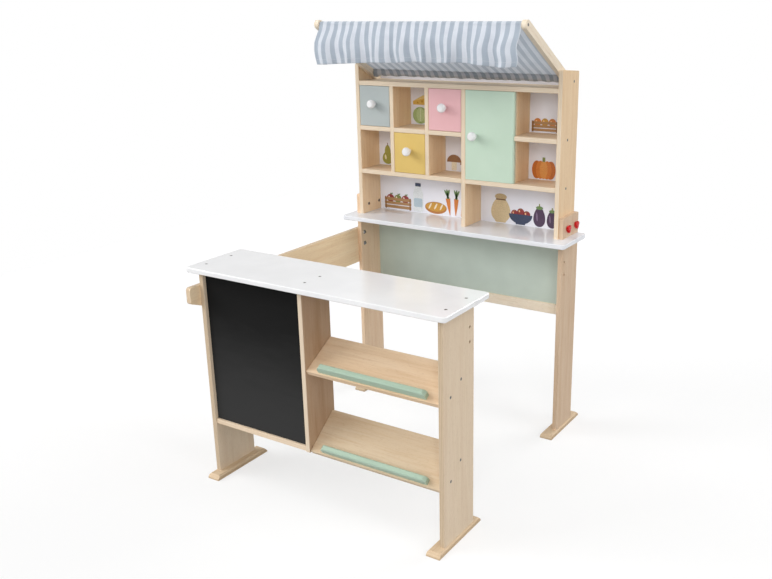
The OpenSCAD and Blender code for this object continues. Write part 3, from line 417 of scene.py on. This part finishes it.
def carrot(x, z, w, turn):
    root = [(-w / 2, w * 3.2), (w / 2, w * 3.2), (w * 0.34, w * 1.6), (0.8, 0), (-0.8, 0),
            (-w * 0.34, w * 1.6)]
    printed(placed(root, x, z, turn), orange, 1)
    for lean in (-24, 0, 24):
        middle = (w * 0.4 * math.sin(math.radians(-lean)), w * 4.0)
        leaf_x, leaf_z = placed([middle], x, z, turn)[0]
        printed(oval(leaf_x, leaf_z, w * 0.42, w * 1.9, turn + lean), leaf_green, 2)


def pumpkin(x, z, w):
    for dx, wide, code in ((-0.3, 0.42, "#c9702c"), (0.3, 0.42, "#c9702c"), (-0.14, 0.4, "#d98238"),
                           (0.14, 0.4, "#d98238"), (0.0, 0.34, "#e29a4c")):
        printed(oval(x + dx * w, z + w * 0.36, wide * w, w * 0.72), code, 1 + (abs(dx) < 0.2) + (dx == 0))
    printed(block(x - w * 0.06, z + w * 0.68, x + w * 0.06, z + w * 0.86, 1.5), olive, 4)


def cabbage(x, z, w):
    printed(oval(x, z + w * 0.46, w, w * 0.92), "#8fa866", 1)
    for dx, dz, wide, turn in ((-0.22, 0.42, 0.5, 14), (0.22, 0.42, 0.5, -14), (0.0, 0.5, 0.52, 0)):
        code, layer = ("#a9bf80", 2) if dx else ("#bccf97", 3)
        printed(oval(x + dx * w, z + dz * w, wide * w, w * 0.78, turn), code, layer)
    printed(block(x - 1, z + w * 0.14, x + 1, z + w * 0.8, 0.9), "#dde6c4", 4)


def mushroom(x, z, w):
    printed(block(x - w * 0.18, z, x + w * 0.18, z + w * 0.6, 3), cream, 1)
    cap = [(px, max(pz, z + w * 0.5)) for px, pz in oval(x, z + w * 0.5, w, w * 0.9)]
    printed(cap, "#9a7150", 2)


def aubergine(x, z, w):
    printed(oval(x, z + w * 0.8, w, w * 1.6, squeeze=0.22), "#4b3552", 1)
    printed(oval(x - w * 0.2, z + w * 0.8, w * 0.14, w * 0.7, 6), "#7f6a88", 2)
    printed(oval(x, z + w * 1.52, w * 0.6, w * 0.28), leaf_green, 3)
    printed(block(x - 1.6, z + w * 1.55, x + 1.6, z + w * 1.85, 1.4), olive, 4)


def sack(x, z, w):
    printed(oval(x, z + w * 0.6, w, w * 1.2, squeeze=0.18), "#d9c39b", 1)
    printed(block(x - w * 0.3, z, x + w * 0.3, z + w * 0.3, 5), "#d9c39b", 2)
    printed(oval(x, z + w * 1.22, w * 0.62, w * 0.3), "#cbb287", 2)
    printed(block(x - w * 0.26, z + w * 1.06, x + w * 0.26, z + w * 1.12, 1), brown, 3)


def bowl(x, z, w, code):
    for i in (-0.26, 0.0, 0.26):
        orange_fruit(x + i * w, z + w * 0.26 + (i == 0) * w * 0.08, w * 0.3, dark_red)
    rim = [(px, min(pz, z + w * 0.4)) for px, pz in oval(x, z + w * 0.4, w, w * 0.76)]
    printed(rim, code, 4)
    printed(block(x - w * 0.2, z, x + w * 0.2, z + w * 0.07, 1.2), code, 5)


crate(-248, worktop_up, 92, [dark_red, olive], apple, 3)
milk(-178, worktop_up, 34)
loaf(-119, worktop_up, 72)
for x, lean in ((-72, 8), (-54, -3), (-36, -13)):
    carrot(x, worktop_up + 1, 15, lean)
sack(88, worktop_up, 58)
bowl(148, worktop_up, 70, navy)
aubergine(203, worktop_up, 34)
aubergine(240, worktop_up, 30)
cabbage(-166, row_up, 50)
cheese(-166, row_up + 52, 48)
pear(-280, low_up, 36, "#a7a34f")
pear(-248, low_up, 32, amber)
mushroom(-58, low_up, 46)
mushroom(-22, low_up, 34)
crate(212, row_up, 74, [orange, amber], orange_fruit, 3)
pumpkin(212, low_up, 66)


def set_in_scene(name, made):
    mesh = bpy.data.meshes.new(name)
    made.to_mesh(mesh)
    made.free()
    piece = bpy.data.objects.new(name, mesh)
    bpy.context.scene.collection.objects.link(piece)
    return piece


printed_groceries = set_in_scene("printed_groceries", ink)

# Printing ink on lacquer: flat colours with a fine dot texture 1.5 mm across and a satin sheen.
printing_ink, tree = new_material("printing_ink_on_lacquer")
colour = add(tree, "ShaderNodeAttribute", attribute_name="ink")
place = add(tree, "ShaderNodeTexCoord")
dots = add(tree, "ShaderNodeTexNoise", {
    "Vector": place.outputs["Object"], "Scale": 1000 / 1.5, "Detail": 2.0})
fade = add(tree, "ShaderNodeValToRGB", {"Fac": dots.outputs["Fac"]}, [(0.35, "#e6e6e6"), (0.65, "#ffffff")])
tone = add(tree, "ShaderNodeMix", {0: 1.0, 6: colour.outputs["Color"], 7: fade.outputs["Color"]},
           data_type="RGBA", blend_type="MULTIPLY")
gloss = add(tree, "ShaderNodeMapRange", {
    "Value": dots.outputs["Fac"], "From Min": 0.3, "From Max": 0.7, "To Min": 0.3, "To Max": 0.42})
skin = add(tree, "ShaderNodeBsdfPrincipled", {
    "Base Color": tone.outputs[2], "Roughness": gloss.outputs[0], "IOR": 1.5})
add(tree, "ShaderNodeOutputMaterial", {"Surface": skin.outputs[0]})
printed_groceries.data.materials.append(printing_ink)
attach(printed_groceries, "stall")


# Drawers: open boxes of thin birch with painted fronts and turned, white-lacquered knobs.
# Each slides out to the front on the shelf below it.
dress(["drawer_box_blue", "drawer_box_yellow", "drawer_box_pink"],
      birch("birch_grain_front_to_back", y_way, pale_birch))
dress(["drawer_front_blue"], satin_paint("blue_grey_satin_paint", "#b1b8b7", "#abb3b2"))
dress(["drawer_front_yellow"], satin_paint("mustard_satin_paint", "#dcbd6f", "#d7b768"))
dress(["drawer_front_pink"], satin_paint("rose_satin_paint", "#e6b5b8", "#e1afb2"))
dress(["drawer_knob_blue", "drawer_knob_yellow", "drawer_knob_pink"], white_lacquer)


# Cupboard door: a birch board painted mint, turning on a pin at each end of its round edge, with a
# white-lacquered knob. A block behind its free edge stops it flush with the shelf unit.
dress(["door"], satin_paint("pale_mint_satin_paint", "#c5dac7", "#c0d6c2"))
dress(["door_knob"], white_lacquer)
dress(["door_stop"], unit_upright)


# Clamp knobs: four star grips, each moulded on a stud that is screwed through a leg's tab into an
# insert in the shelf unit. Two on each side hold the unit on the rear frame.


# ABS, moulded: a glossy red plastic, its shine slightly uneven over 5 mm.
red_abs, tree = new_material("red_abs_moulded")
place = add(tree, "ShaderNodeTexCoord")
flow = add(tree, "ShaderNodeTexNoise", {
    "Vector": place.outputs["Object"], "Scale": 1000 / 5, "Detail": 2.0})
tone = add(tree, "ShaderNodeValToRGB", {"Fac": flow.outputs["Fac"]}, [(0.3, "#c6161a"), (0.7, "#d01c20")])
gloss = add(tree, "ShaderNodeMapRange", {
    "Value": flow.outputs["Fac"], "From Min": 0.3, "From Max": 0.7, "To Min": 0.22, "To Max": 0.34})
skin = add(tree, "ShaderNodeBsdfPrincipled", {
    "Base Color": tone.outputs["Color"], "Roughness": gloss.outputs[0], "IOR": 1.54,
    "Specular IOR Level": 0.25})
add(tree, "ShaderNodeOutputMaterial", {"Surface": skin.outputs[0]})
dress(["clamp_knob_left_front", "clamp_knob_left_rear", "clamp_knob_right_front",
       "clamp_knob_right_rear"], red_abs)


# Awning arms and rods: two sloping birch arms screwed to the shelf unit, with a birch rod between
# their tips and another between their lower ends.
awning_tilt = math.radians(30.4)
dress(["awning_arm_left", "awning_arm_right"],
      birch("birch_grain_sloping_arm", y_way, white_birch, shift=0.9, turn=(awning_tilt, 0, 0)))
dress(["awning_front_rod", "awning_rear_rod"], birch_across)


# Awning cloth: one length of striped cotton, sewn into a sleeve round the rear rod, pulled over
# the front rod and left to hang as a loose valance with a stitched hem.
def rod_centre(name):
    low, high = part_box(name)
    return (low[1] + high[1]) / 2, (low[2] + high[2]) / 2, (high[2] - low[2]) / 2


front_y, front_z, front_r = rod_centre("awning_front_rod")
rear_y, rear_z, rear_r = rod_centre("awning_rear_rod")
cloth_low, cloth_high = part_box("awning_cloth")
cloth_x0, cloth_x1 = cloth_low[0], cloth_high[0]
cloth_thick, rod_gap, seam_at, sag, valance, belly = 0.0012, 0.0004, 0.008, 0.007, 0.098, 0.008
front_wrap, rear_wrap = front_r + rod_gap + cloth_thick / 2, rear_r + rod_gap + cloth_thick / 2
above = Vector((math.sin(awning_tilt), math.cos(awning_tilt)))
slope_from = Vector((rear_y, rear_z)) + rear_wrap * above
slope_to = Vector((front_y, front_z)) + front_wrap * above
front_arc = math.pi / 2 + awning_tilt
flap_below = 1.3 * cloth_thick

flap_steps, round_steps, slope_steps, rod_steps, hang_steps = 8, 24, 72, 14, 48
sleeve_steps = flap_steps + round_steps
line = []
flap_turn = 2 * math.atan(seam_at / rear_wrap)
seam_y, seam_z = slope_from + (slope_to - slope_from).normalized() * seam_at - flap_below * above
flap_y = rear_y + rear_wrap * math.sin(awning_tilt - flap_turn)
flap_z = rear_z + rear_wrap * math.cos(awning_tilt - flap_turn)
for i in range(flap_steps):
    v = i / flap_steps
    line.append((seam_y + (flap_y - seam_y) * v, seam_z + (flap_z - seam_z) * v, "sleeve", i / sleeve_steps))
for i in range(round_steps):
    a = awning_tilt - flap_turn - (2 * math.pi - flap_turn) * i / round_steps
    line.append((rear_y + rear_wrap * math.sin(a), rear_z + rear_wrap * math.cos(a), "sleeve",
                 (flap_steps + i) / sleeve_steps))
for i in range(slope_steps):
    v = i / slope_steps
    p = slope_from.lerp(slope_to, v)
    line.append((p[0], p[1] - sag * 4 * v * (1 - v), "slope", v))
for i in range(rod_steps):
    a = awning_tilt - front_arc * i / rod_steps
    line.append((front_y + front_wrap * math.sin(a), front_z + front_wrap * math.cos(a), "rod",
                 i / rod_steps))
for i in range(hang_steps + 1):
    v = i / hang_steps
    line.append((front_y - front_wrap - belly * math.sin(math.pi * v), front_z - valance * v, "hang", v))
lengths = [0.0]
for (y0, z0, *_), (y1, z1, *_) in zip(line, line[1:]):
    lengths.append(lengths[-1] + math.hypot(y1 - y0, z1 - z0))
cloth_w, cloth_l = cloth_x1 - cloth_x0, lengths[-1]


# The sleeve is gathered on its underside, the slope is puckered beside the seam and rippled beyond.
# The valance hangs in folds that sway, swings out at its left end and is lifted in the middle.
# Across the cloth u runs from 0 to 1, and in each stretch of its length v does.
gather_count, gather_deep, end_droop, sleeve_drift = 17, 0.0026, 0.003, 0.009
ripple_across, ripple_down, ripple_deep, pucker_count, pucker_deep = 19, 26, 0.0014, 24, 0.0012
fold_count, fold_deep, crease_count, crease_deep = 8, 0.009, 42, 0.0022
fold_sway, slow_sway, right_sway = 0.004, 0.0018, 0.0042
left_pull, right_pull, left_swing = 0.010, 0.013, 0.006
hem_lift, hem_dip, hem_wander = 0.0125, 0.006, 0.002


def fold_wave(u):
    return 0.5 - 0.5 * math.cos(2 * math.pi * (fold_count * u) + 1.05 * math.sin(4 * math.pi * u))


def cloth_point(u, row):
    y, z, zone, v = line[row]
    x = cloth_x0 + cloth_w * u
    ripple = noise.noise(Vector((u * ripple_across, lengths[row] * ripple_down, 3.0)))
    if zone == "sleeve":
        gather = 0.5 + 0.5 * math.sin(2 * math.pi * u * gather_count + 2.2 * math.sin(2 * math.pi * u * 3))
        below = math.sin(math.pi * v) * max(0.0, (rear_z - z) / rear_wrap)
        z -= gather_deep * below * gather * (0.6 + 0.8 * abs(ripple))
        z -= end_droop * below * max(0.0, 1 - u / 0.04)
        x += sleeve_drift * math.sin(math.pi * v) * min(1.0, 12 * u, 12 * (1 - u))
    if zone == "slope":
        near_sleeve = max(0.0, 1 - v / 0.18) * min(1.0, v / 0.02)
        z += ripple_deep * ripple * math.sin(math.pi * v)
        z += pucker_deep * near_sleeve * math.sin(2 * math.pi * u * pucker_count)
    if zone == "hang":
        y -= fold_deep * v * fold_wave(u)
        y -= crease_deep * v * noise.noise(Vector((u * crease_count, v * 1.6, 7.0)))
        x += fold_sway * v * math.sin(2 * math.pi * fold_count * u + 0.8) * min(1.0, 6 * u, 6 * (1 - u))
        x += slow_sway * v * math.sin(2 * math.pi * (1.1 * v + 2.3 * u))
        x += right_sway * v * math.sin(2 * math.pi * (1.3 * v + 0.12)) * min(1.0, max(0.0, u - 0.62) / 0.25)
        free = max(0.0, 1 - u / 0.35) ** 1.5
        x -= left_pull * min(1.0, max(0.0, v - 0.13) / 0.3) * free
        x -= right_pull * v * v * max(0.0, 2 * u - 1) ** 1.5
        y -= left_swing * v * free
        z += v * (hem_lift * math.sin(0.75 * math.pi * u) - hem_dip * math.exp(-((u - 0.92) / 0.07) ** 2))
        z += hem_wander * v * noise.noise(Vector((u * 9, 1.0, 2.0)))
    return (x, y, z)


across_count = 188
cloth = bmesh.new()
cloth_uv = cloth.loops.layers.uv.new("cut")
grid = [[cloth.verts.new(cloth_point(j / across_count, i)) for j in range(across_count + 1)]
        for i in range(len(line))]
for i in range(len(line) - 1):
    for j in range(across_count):
        face = cloth.faces.new((grid[i][j], grid[i][j + 1], grid[i + 1][j + 1], grid[i + 1][j]))
        face.smooth = True
        for loop, (ii, jj) in zip(face.loops, ((i, j), (i, j + 1), (i + 1, j + 1), (i + 1, j))):
            loop[cloth_uv].uv = (jj / across_count * cloth_w, lengths[ii])
awning_striped_cloth = set_in_scene("awning_striped_cloth", cloth)
wall = awning_striped_cloth.modifiers.new("cloth_thickness", "SOLIDIFY")
wall.thickness, wall.offset = cloth_thick, 0.0

# Cotton, plain weave, with woven stripes 12 mm wide in blue-grey and white: matt, with a soft sheen, crossing
# threads and a little uneven dye. The threads are really 0.5 mm apart and are drawn 1.5 mm apart, so that
# they show. The doubled sleeve lets less light through, and its colour is painted darker as painted shade
# under the top shelf.
stripe_mm, thread_mm = 12, 1.5
seam_row = sleeve_steps + 2
cotton, tree = new_material("striped_cotton_plain_weave")
place = add(tree, "ShaderNodeTexCoord")
parts = add(tree, "ShaderNodeSeparateXYZ", {0: place.outputs["UV"]})
turns = add(tree, "ShaderNodeMath", {0: parts.outputs["X"], 1: 1000 / (2 * stripe_mm)}, operation="MULTIPLY")
share = add(tree, "ShaderNodeMath", {0: turns.outputs[0]}, operation="FRACT")
stripe = add(tree, "ShaderNodeValToRGB", {"Fac": share.outputs[0]}, [
    (0.0, "#c4ced8"), (0.485, "#c4ced8"), (0.515, "#f7faff"), (0.975, "#f7faff"), (1.0, "#c4ced8")])
warp, weft = (
    add(tree, "ShaderNodeTexWave", {
        "Vector": place.outputs["UV"], "Scale": wave_length_at_one / (thread_mm / 1000), "Distortion": 0.6,
        "Detail": 1.0, "Detail Scale": 0.3}, bands_direction=way)
    for way in "XY")
weave = add(tree, "ShaderNodeMath", {0: warp.outputs["Fac"], 1: weft.outputs["Fac"]}, operation="MULTIPLY")
uneven = add(tree, "ShaderNodeTexNoise", {"Vector": place.outputs["UV"], "Scale": 1000 / 30, "Detail": 3.0})
dye = add(tree, "ShaderNodeValToRGB", {"Fac": uneven.outputs["Fac"]}, [(0.3, "#f1f2f4"), (0.7, "#ffffff")])
dyed = add(tree, "ShaderNodeMix", {0: 1.0, 6: stripe.outputs["Color"], 7: dye.outputs["Color"]},
           data_type="RGBA", blend_type="MULTIPLY")
shade = add(tree, "ShaderNodeValToRGB", {"Fac": weave.outputs[0]}, [(0.0, "#eaecee"), (0.7, "#ffffff")])
woven = add(tree, "ShaderNodeMix", {0: 1.0, 6: dyed.outputs[2], 7: shade.outputs["Color"]},
            data_type="RGBA", blend_type="MULTIPLY")
doubled_through, single_through = 0.03, 0.33
through_share = add(tree, "ShaderNodeMapRange", {
    "Value": parts.outputs["Y"], "From Min": lengths[seam_row - 4], "From Max": lengths[seam_row + 2],
    "To Min": doubled_through, "To Max": single_through})
# Painted shade: the sleeve's colour is darkened for the shade it lies in under the top shelf.
sleeve_painted_shade = add(tree, "ShaderNodeValToRGB", {"Fac": through_share.outputs[0]}, [
    (doubled_through, "#d8d3cf"), (single_through, "#ffffff")])
toned = add(tree, "ShaderNodeMix", {0: 1.0, 6: woven.outputs[2], 7: sleeve_painted_shade.outputs["Color"]},
            data_type="RGBA", blend_type="MULTIPLY")
gloss = add(tree, "ShaderNodeMapRange", {
    "Value": weave.outputs[0], "From Min": 0.0, "From Max": 1.0, "To Min": 0.95, "To Max": 0.8})
relief = add(tree, "ShaderNodeBump", {"Height": weave.outputs[0], "Strength": 0.3, "Distance": 0.0004})
skin = add(tree, "ShaderNodeBsdfPrincipled", {
    "Base Color": toned.outputs[2], "Roughness": gloss.outputs[0], "Normal": relief.outputs[0],
    "Specular IOR Level": 0.2, "Sheen Weight": 0.15, "Sheen Roughness": 0.6})
through = add(tree, "ShaderNodeBsdfTranslucent", {"Color": linear("#eef2f7"), "Normal": relief.outputs[0]})
body = add(tree, "ShaderNodeMixShader", {
    0: through_share.outputs[0], 1: skin.outputs[0], 2: through.outputs[0]})
add(tree, "ShaderNodeOutputMaterial", {"Surface": body.outputs[0]})
awning_striped_cloth.data.materials.append(cotton)


# Sewing thread of the awning: a lockstitch along the valance's hem and along the seam that closes
# the sleeve. The stitches are 3.5 mm long in white cotton thread.
thread_white, tree = new_material("cotton_sewing_thread")
place = add(tree, "ShaderNodeTexCoord")
twist = add(tree, "ShaderNodeTexNoise", {
    "Vector": place.outputs["Object"], "Scale": 1000 / 0.8, "Detail": 2.0})
tone = add(tree, "ShaderNodeValToRGB", {"Fac": twist.outputs["Fac"]}, [(0.3, "#d9dbe0"), (0.7, "#f0f1f4")])
skin = add(tree, "ShaderNodeBsdfPrincipled", {
    "Base Color": tone.outputs["Color"], "Roughness": 0.8, "Specular IOR Level": 0.2})
add(tree, "ShaderNodeOutputMaterial", {"Surface": skin.outputs[0]})

stitching = bpy.data.node_groups.new("lockstitch_along_edges", "GeometryNodeTree")
for name, kind, out in (
        ("Seam lines", "NodeSocketGeometry", "INPUT"),
        ("Stitch pitch", "NodeSocketFloat", "INPUT"),
        ("Stitch length", "NodeSocketFloat", "INPUT"),
        ("Thread radius", "NodeSocketFloat", "INPUT"),
        ("Thread", "NodeSocketMaterial", "INPUT"),
        ("Stitches", "NodeSocketGeometry", "OUTPUT")):
    stitching.interface.new_socket(name, in_out=out, socket_type=kind)
given = add(stitching, "NodeGroupInput")
seam = add(stitching, "GeometryNodeMeshToCurve", {"Mesh": given.outputs["Seam lines"]})
spots = add(stitching, "GeometryNodeCurveToPoints", {
    "Curve": seam.outputs["Curve"], "Length": given.outputs["Stitch pitch"]}, mode="LENGTH")
bead = add(stitching, "GeometryNodeMeshUVSphere", {
    "Segments": 6, "Rings": 5, "Radius": given.outputs["Thread radius"]})
radii = add(stitching, "ShaderNodeMath", {
    0: given.outputs["Stitch length"], 1: given.outputs["Thread radius"]}, operation="DIVIDE")
long = add(stitching, "ShaderNodeMath", {0: radii.outputs[0], 1: 0.5}, operation="MULTIPLY")
form = add(stitching, "ShaderNodeCombineXYZ", {"X": 1.0, "Y": 1.0, "Z": long.outputs[0]})
turned = add(stitching, "FunctionNodeAlignRotationToVector", {"Vector": spots.outputs["Tangent"]}, axis="Z")
laid = add(stitching, "GeometryNodeInstanceOnPoints", {
    "Points": spots.outputs["Points"], "Instance": bead.outputs["Mesh"], "Rotation": turned.outputs[0],
    "Scale": form.outputs[0]})
real = add(stitching, "GeometryNodeRealizeInstances", {"Geometry": laid.outputs["Instances"]})
coloured = add(stitching, "GeometryNodeSetMaterial", {
    "Geometry": real.outputs["Geometry"], "Material": given.outputs["Thread"]})
add(stitching, "NodeGroupOutput", {"Stitches": coloured.outputs["Geometry"]})

thread_lift, seam_inset, seam_steps, probe = 0.0007, 0.006, 400, 0.004
hem_row = len(line) - 7


def surface_point(u, row, lift):
    here = Vector(cloth_point(u, row))
    side = Vector(cloth_point(min(u + probe, 1), row)) - Vector(cloth_point(max(u - probe, 0), row))
    ahead = Vector(cloth_point(u, min(row + 1, len(line) - 1))) - Vector(cloth_point(u, max(row - 1, 0)))
    return here + side.cross(ahead).normalized() * lift


seams = bmesh.new()
for row, lift in ((hem_row, thread_lift), (hem_row, -thread_lift), (seam_row, thread_lift)):
    last = None
    for j in range(seam_steps + 1):
        u = seam_inset + (1 - 2 * seam_inset) * j / seam_steps
        spot = seams.verts.new(surface_point(u, row, lift))
        if last:
            seams.edges.new((last, spot))
        last = spot
seam_lines = set_in_scene("seam_lines", seams)
sewing = seam_lines.modifiers.new("sewing", "NODES")
sewing.node_group = stitching
stitch = {"Stitch pitch": 0.0042, "Stitch length": 0.0035, "Thread radius": 0.0004, "Thread": thread_white}
for item in stitching.interface.items_tree:
    if item.name in stitch:
        sewing[item.identifier] = stitch[item.name]
bpy.context.view_layer.update()
stitch_mesh = bpy.data.meshes.new_from_object(seam_lines.evaluated_get(bpy.context.evaluated_depsgraph_get()))
seam_lines.modifiers.clear()
bpy.data.objects.remove(seam_lines)
awning_stitches = bpy.data.objects.new("awning_stitches", stitch_mesh)
bpy.context.scene.collection.objects.link(awning_stitches)
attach(awning_striped_cloth, "stall")
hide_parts("awning_cloth")
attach(awning_stitches, "stall")


# Studio: eight soft lamps far from the stall, a white floor that keeps its shadow, and a white
# surround. The floor is sheet paper whose glow makes up what the lamps leave short of white, so
# that it is white all over and only the stall's own shadow stays on it.
lamps = (
    ("left_lamp", (-5.4, -4.2, 3.9), 4.8, 304.0), ("far_left_lamp", (-6.4, -2.2, 3.6), 4.0, 140.0),
    ("front_lamp", (-1.0, -7.2, 3.0), 4.0, 112.0), ("front_right_lamp", (2.8, -4.4, 3.3), 2.0, 78.0),
    ("low_lamp", (4.0, -6.0, 1.2), 2.4, 61.0), ("right_lamp", (6.9, -0.3, 3.2), 4.0, 214.0),
    ("top_lamp", (0.0, -0.8, 6.6), 4.0, 92.0), ("back_lamp", (2.2, 5.0, 4.4), 3.0, 160.0))
centre = Vector((0, 0, 0.5))
for name, place, size, power in lamps:
    lamp = bpy.data.lights.new(name, "AREA")
    lamp.shape, lamp.size, lamp.energy = "SQUARE", size, power
    lamp_object = bpy.data.objects.new(name, lamp)
    lamp_object.location = place
    lamp_object.rotation_euler = (centre - Vector(place)).to_track_quat("-Z", "Y").to_euler()
    bpy.context.scene.collection.objects.link(lamp_object)

reach, steps, paper_grey, paper_white = 2.4, 24, "#a2a2a2", 1.05
sheet = bmesh.new()
short_of_white = sheet.verts.layers.float.new("short_of_white")
marks = [reach * (2 * i / steps - 1) for i in range(steps + 1)]
rows = [[sheet.verts.new((x, y, 0)) for x in marks] for y in marks]
for row in rows:
    for spot in row:
        light = 0.0
        for _, place, _, power in lamps:
            ray = spot.co - Vector(place)
            aim = (centre - Vector(place)).normalized()
            light += power * ray.normalized().dot(aim) * -ray.normalized().z / (math.pi * ray.length_squared)
        spot[short_of_white] = paper_white - linear(paper_grey)[0] * light / math.pi
for low_row, high_row in zip(rows, rows[1:]):
    for j in range(steps):
        sheet.faces.new((low_row[j], low_row[j + 1], high_row[j + 1], high_row[j]))
studio_floor = set_in_scene("studio_floor", sheet)


# What the camera sees, straight, in a reflection or through something, is white; what lights the
# stall by bouncing is greyer.
def seen_directly(tree):
    rays = add(tree, "ShaderNodeLightPath")
    straight = add(tree, "ShaderNodeMath", {
        0: rays.outputs["Is Camera Ray"], 1: rays.outputs["Is Glossy Ray"]}, operation="MAXIMUM")
    return add(tree, "ShaderNodeMath", {
        0: straight.outputs[0], 1: rays.outputs["Is Transmission Ray"]}, operation="MAXIMUM")


paper, tree = new_material("white_studio_paper")
seen = seen_directly(tree)
matt = add(tree, "ShaderNodeBsdfDiffuse", {"Color": linear("#b4b4b4")})
shown = add(tree, "ShaderNodeBsdfDiffuse", {"Color": linear(paper_grey)})
missing = add(tree, "ShaderNodeAttribute", attribute_name="short_of_white")
glow = add(tree, "ShaderNodeEmission", {"Color": linear("#ffffff"), "Strength": missing.outputs["Fac"]})
lit = add(tree, "ShaderNodeAddShader", {0: shown.outputs[0], 1: glow.outputs[0]})
mixed = add(tree, "ShaderNodeMixShader", {0: seen.outputs[0], 1: matt.outputs[0], 2: lit.outputs[0]})
add(tree, "ShaderNodeOutputMaterial", {"Surface": mixed.outputs[0]})
studio_floor.data.materials.append(paper)

surround = bpy.data.worlds.new("white_surround")
bpy.context.scene.world = surround
surround.use_nodes = True
tree = surround.node_tree
tree.nodes.clear()
seen = seen_directly(tree)
soft = add(tree, "ShaderNodeBackground", {"Color": linear("#ffffff"), "Strength": 0.04})
white = add(tree, "ShaderNodeBackground", {"Color": linear("#ffffff"), "Strength": 1.0})
mixed = add(tree, "ShaderNodeMixShader", {0: seen.outputs[0], 1: soft.outputs[0], 2: white.outputs[0]})
add(tree, "ShaderNodeOutputWorld", {"Surface": mixed.outputs[0]})


# Camera: to the right of the stall and a little above it, as in the photograph. Its place, its lens
# and the shift of its axis follow from where the stall's edges lie in the picture.
picture_w, picture_h, focal_px, axis_x_px, axis_y_px = 772, 579, 895.815, 420.946, 288.726
eye = Vector((1.18611, -1.78045, 1.12704))
yaw, pitch, roll = math.radians(32.596), math.radians(17.8537), math.radians(-0.881)
forward = Vector((-math.sin(yaw) * math.cos(pitch), math.cos(yaw) * math.cos(pitch), -math.sin(pitch)))
level = Vector((math.cos(yaw), math.sin(yaw), 0))
upward = level.cross(forward)
right = math.cos(roll) * level + math.sin(roll) * upward
up = -math.sin(roll) * level + math.cos(roll) * upward
camera_data = bpy.data.cameras.new("stall_camera")
camera_data.sensor_width = 36.0
camera_data.lens = focal_px / picture_w * camera_data.sensor_width
camera_data.shift_x = (picture_w / 2 - axis_x_px) / picture_w
camera_data.shift_y = (axis_y_px - picture_h / 2) / picture_w
camera = bpy.data.objects.new("stall_camera", camera_data)
camera.matrix_world = Matrix.Translation(eye) @ Matrix((right, up, -forward)).transposed().to_4x4()
bpy.context.scene.collection.objects.link(camera)
bpy.context.scene.camera = camera
bpy.context.scene.view_settings.view_transform = "Standard"
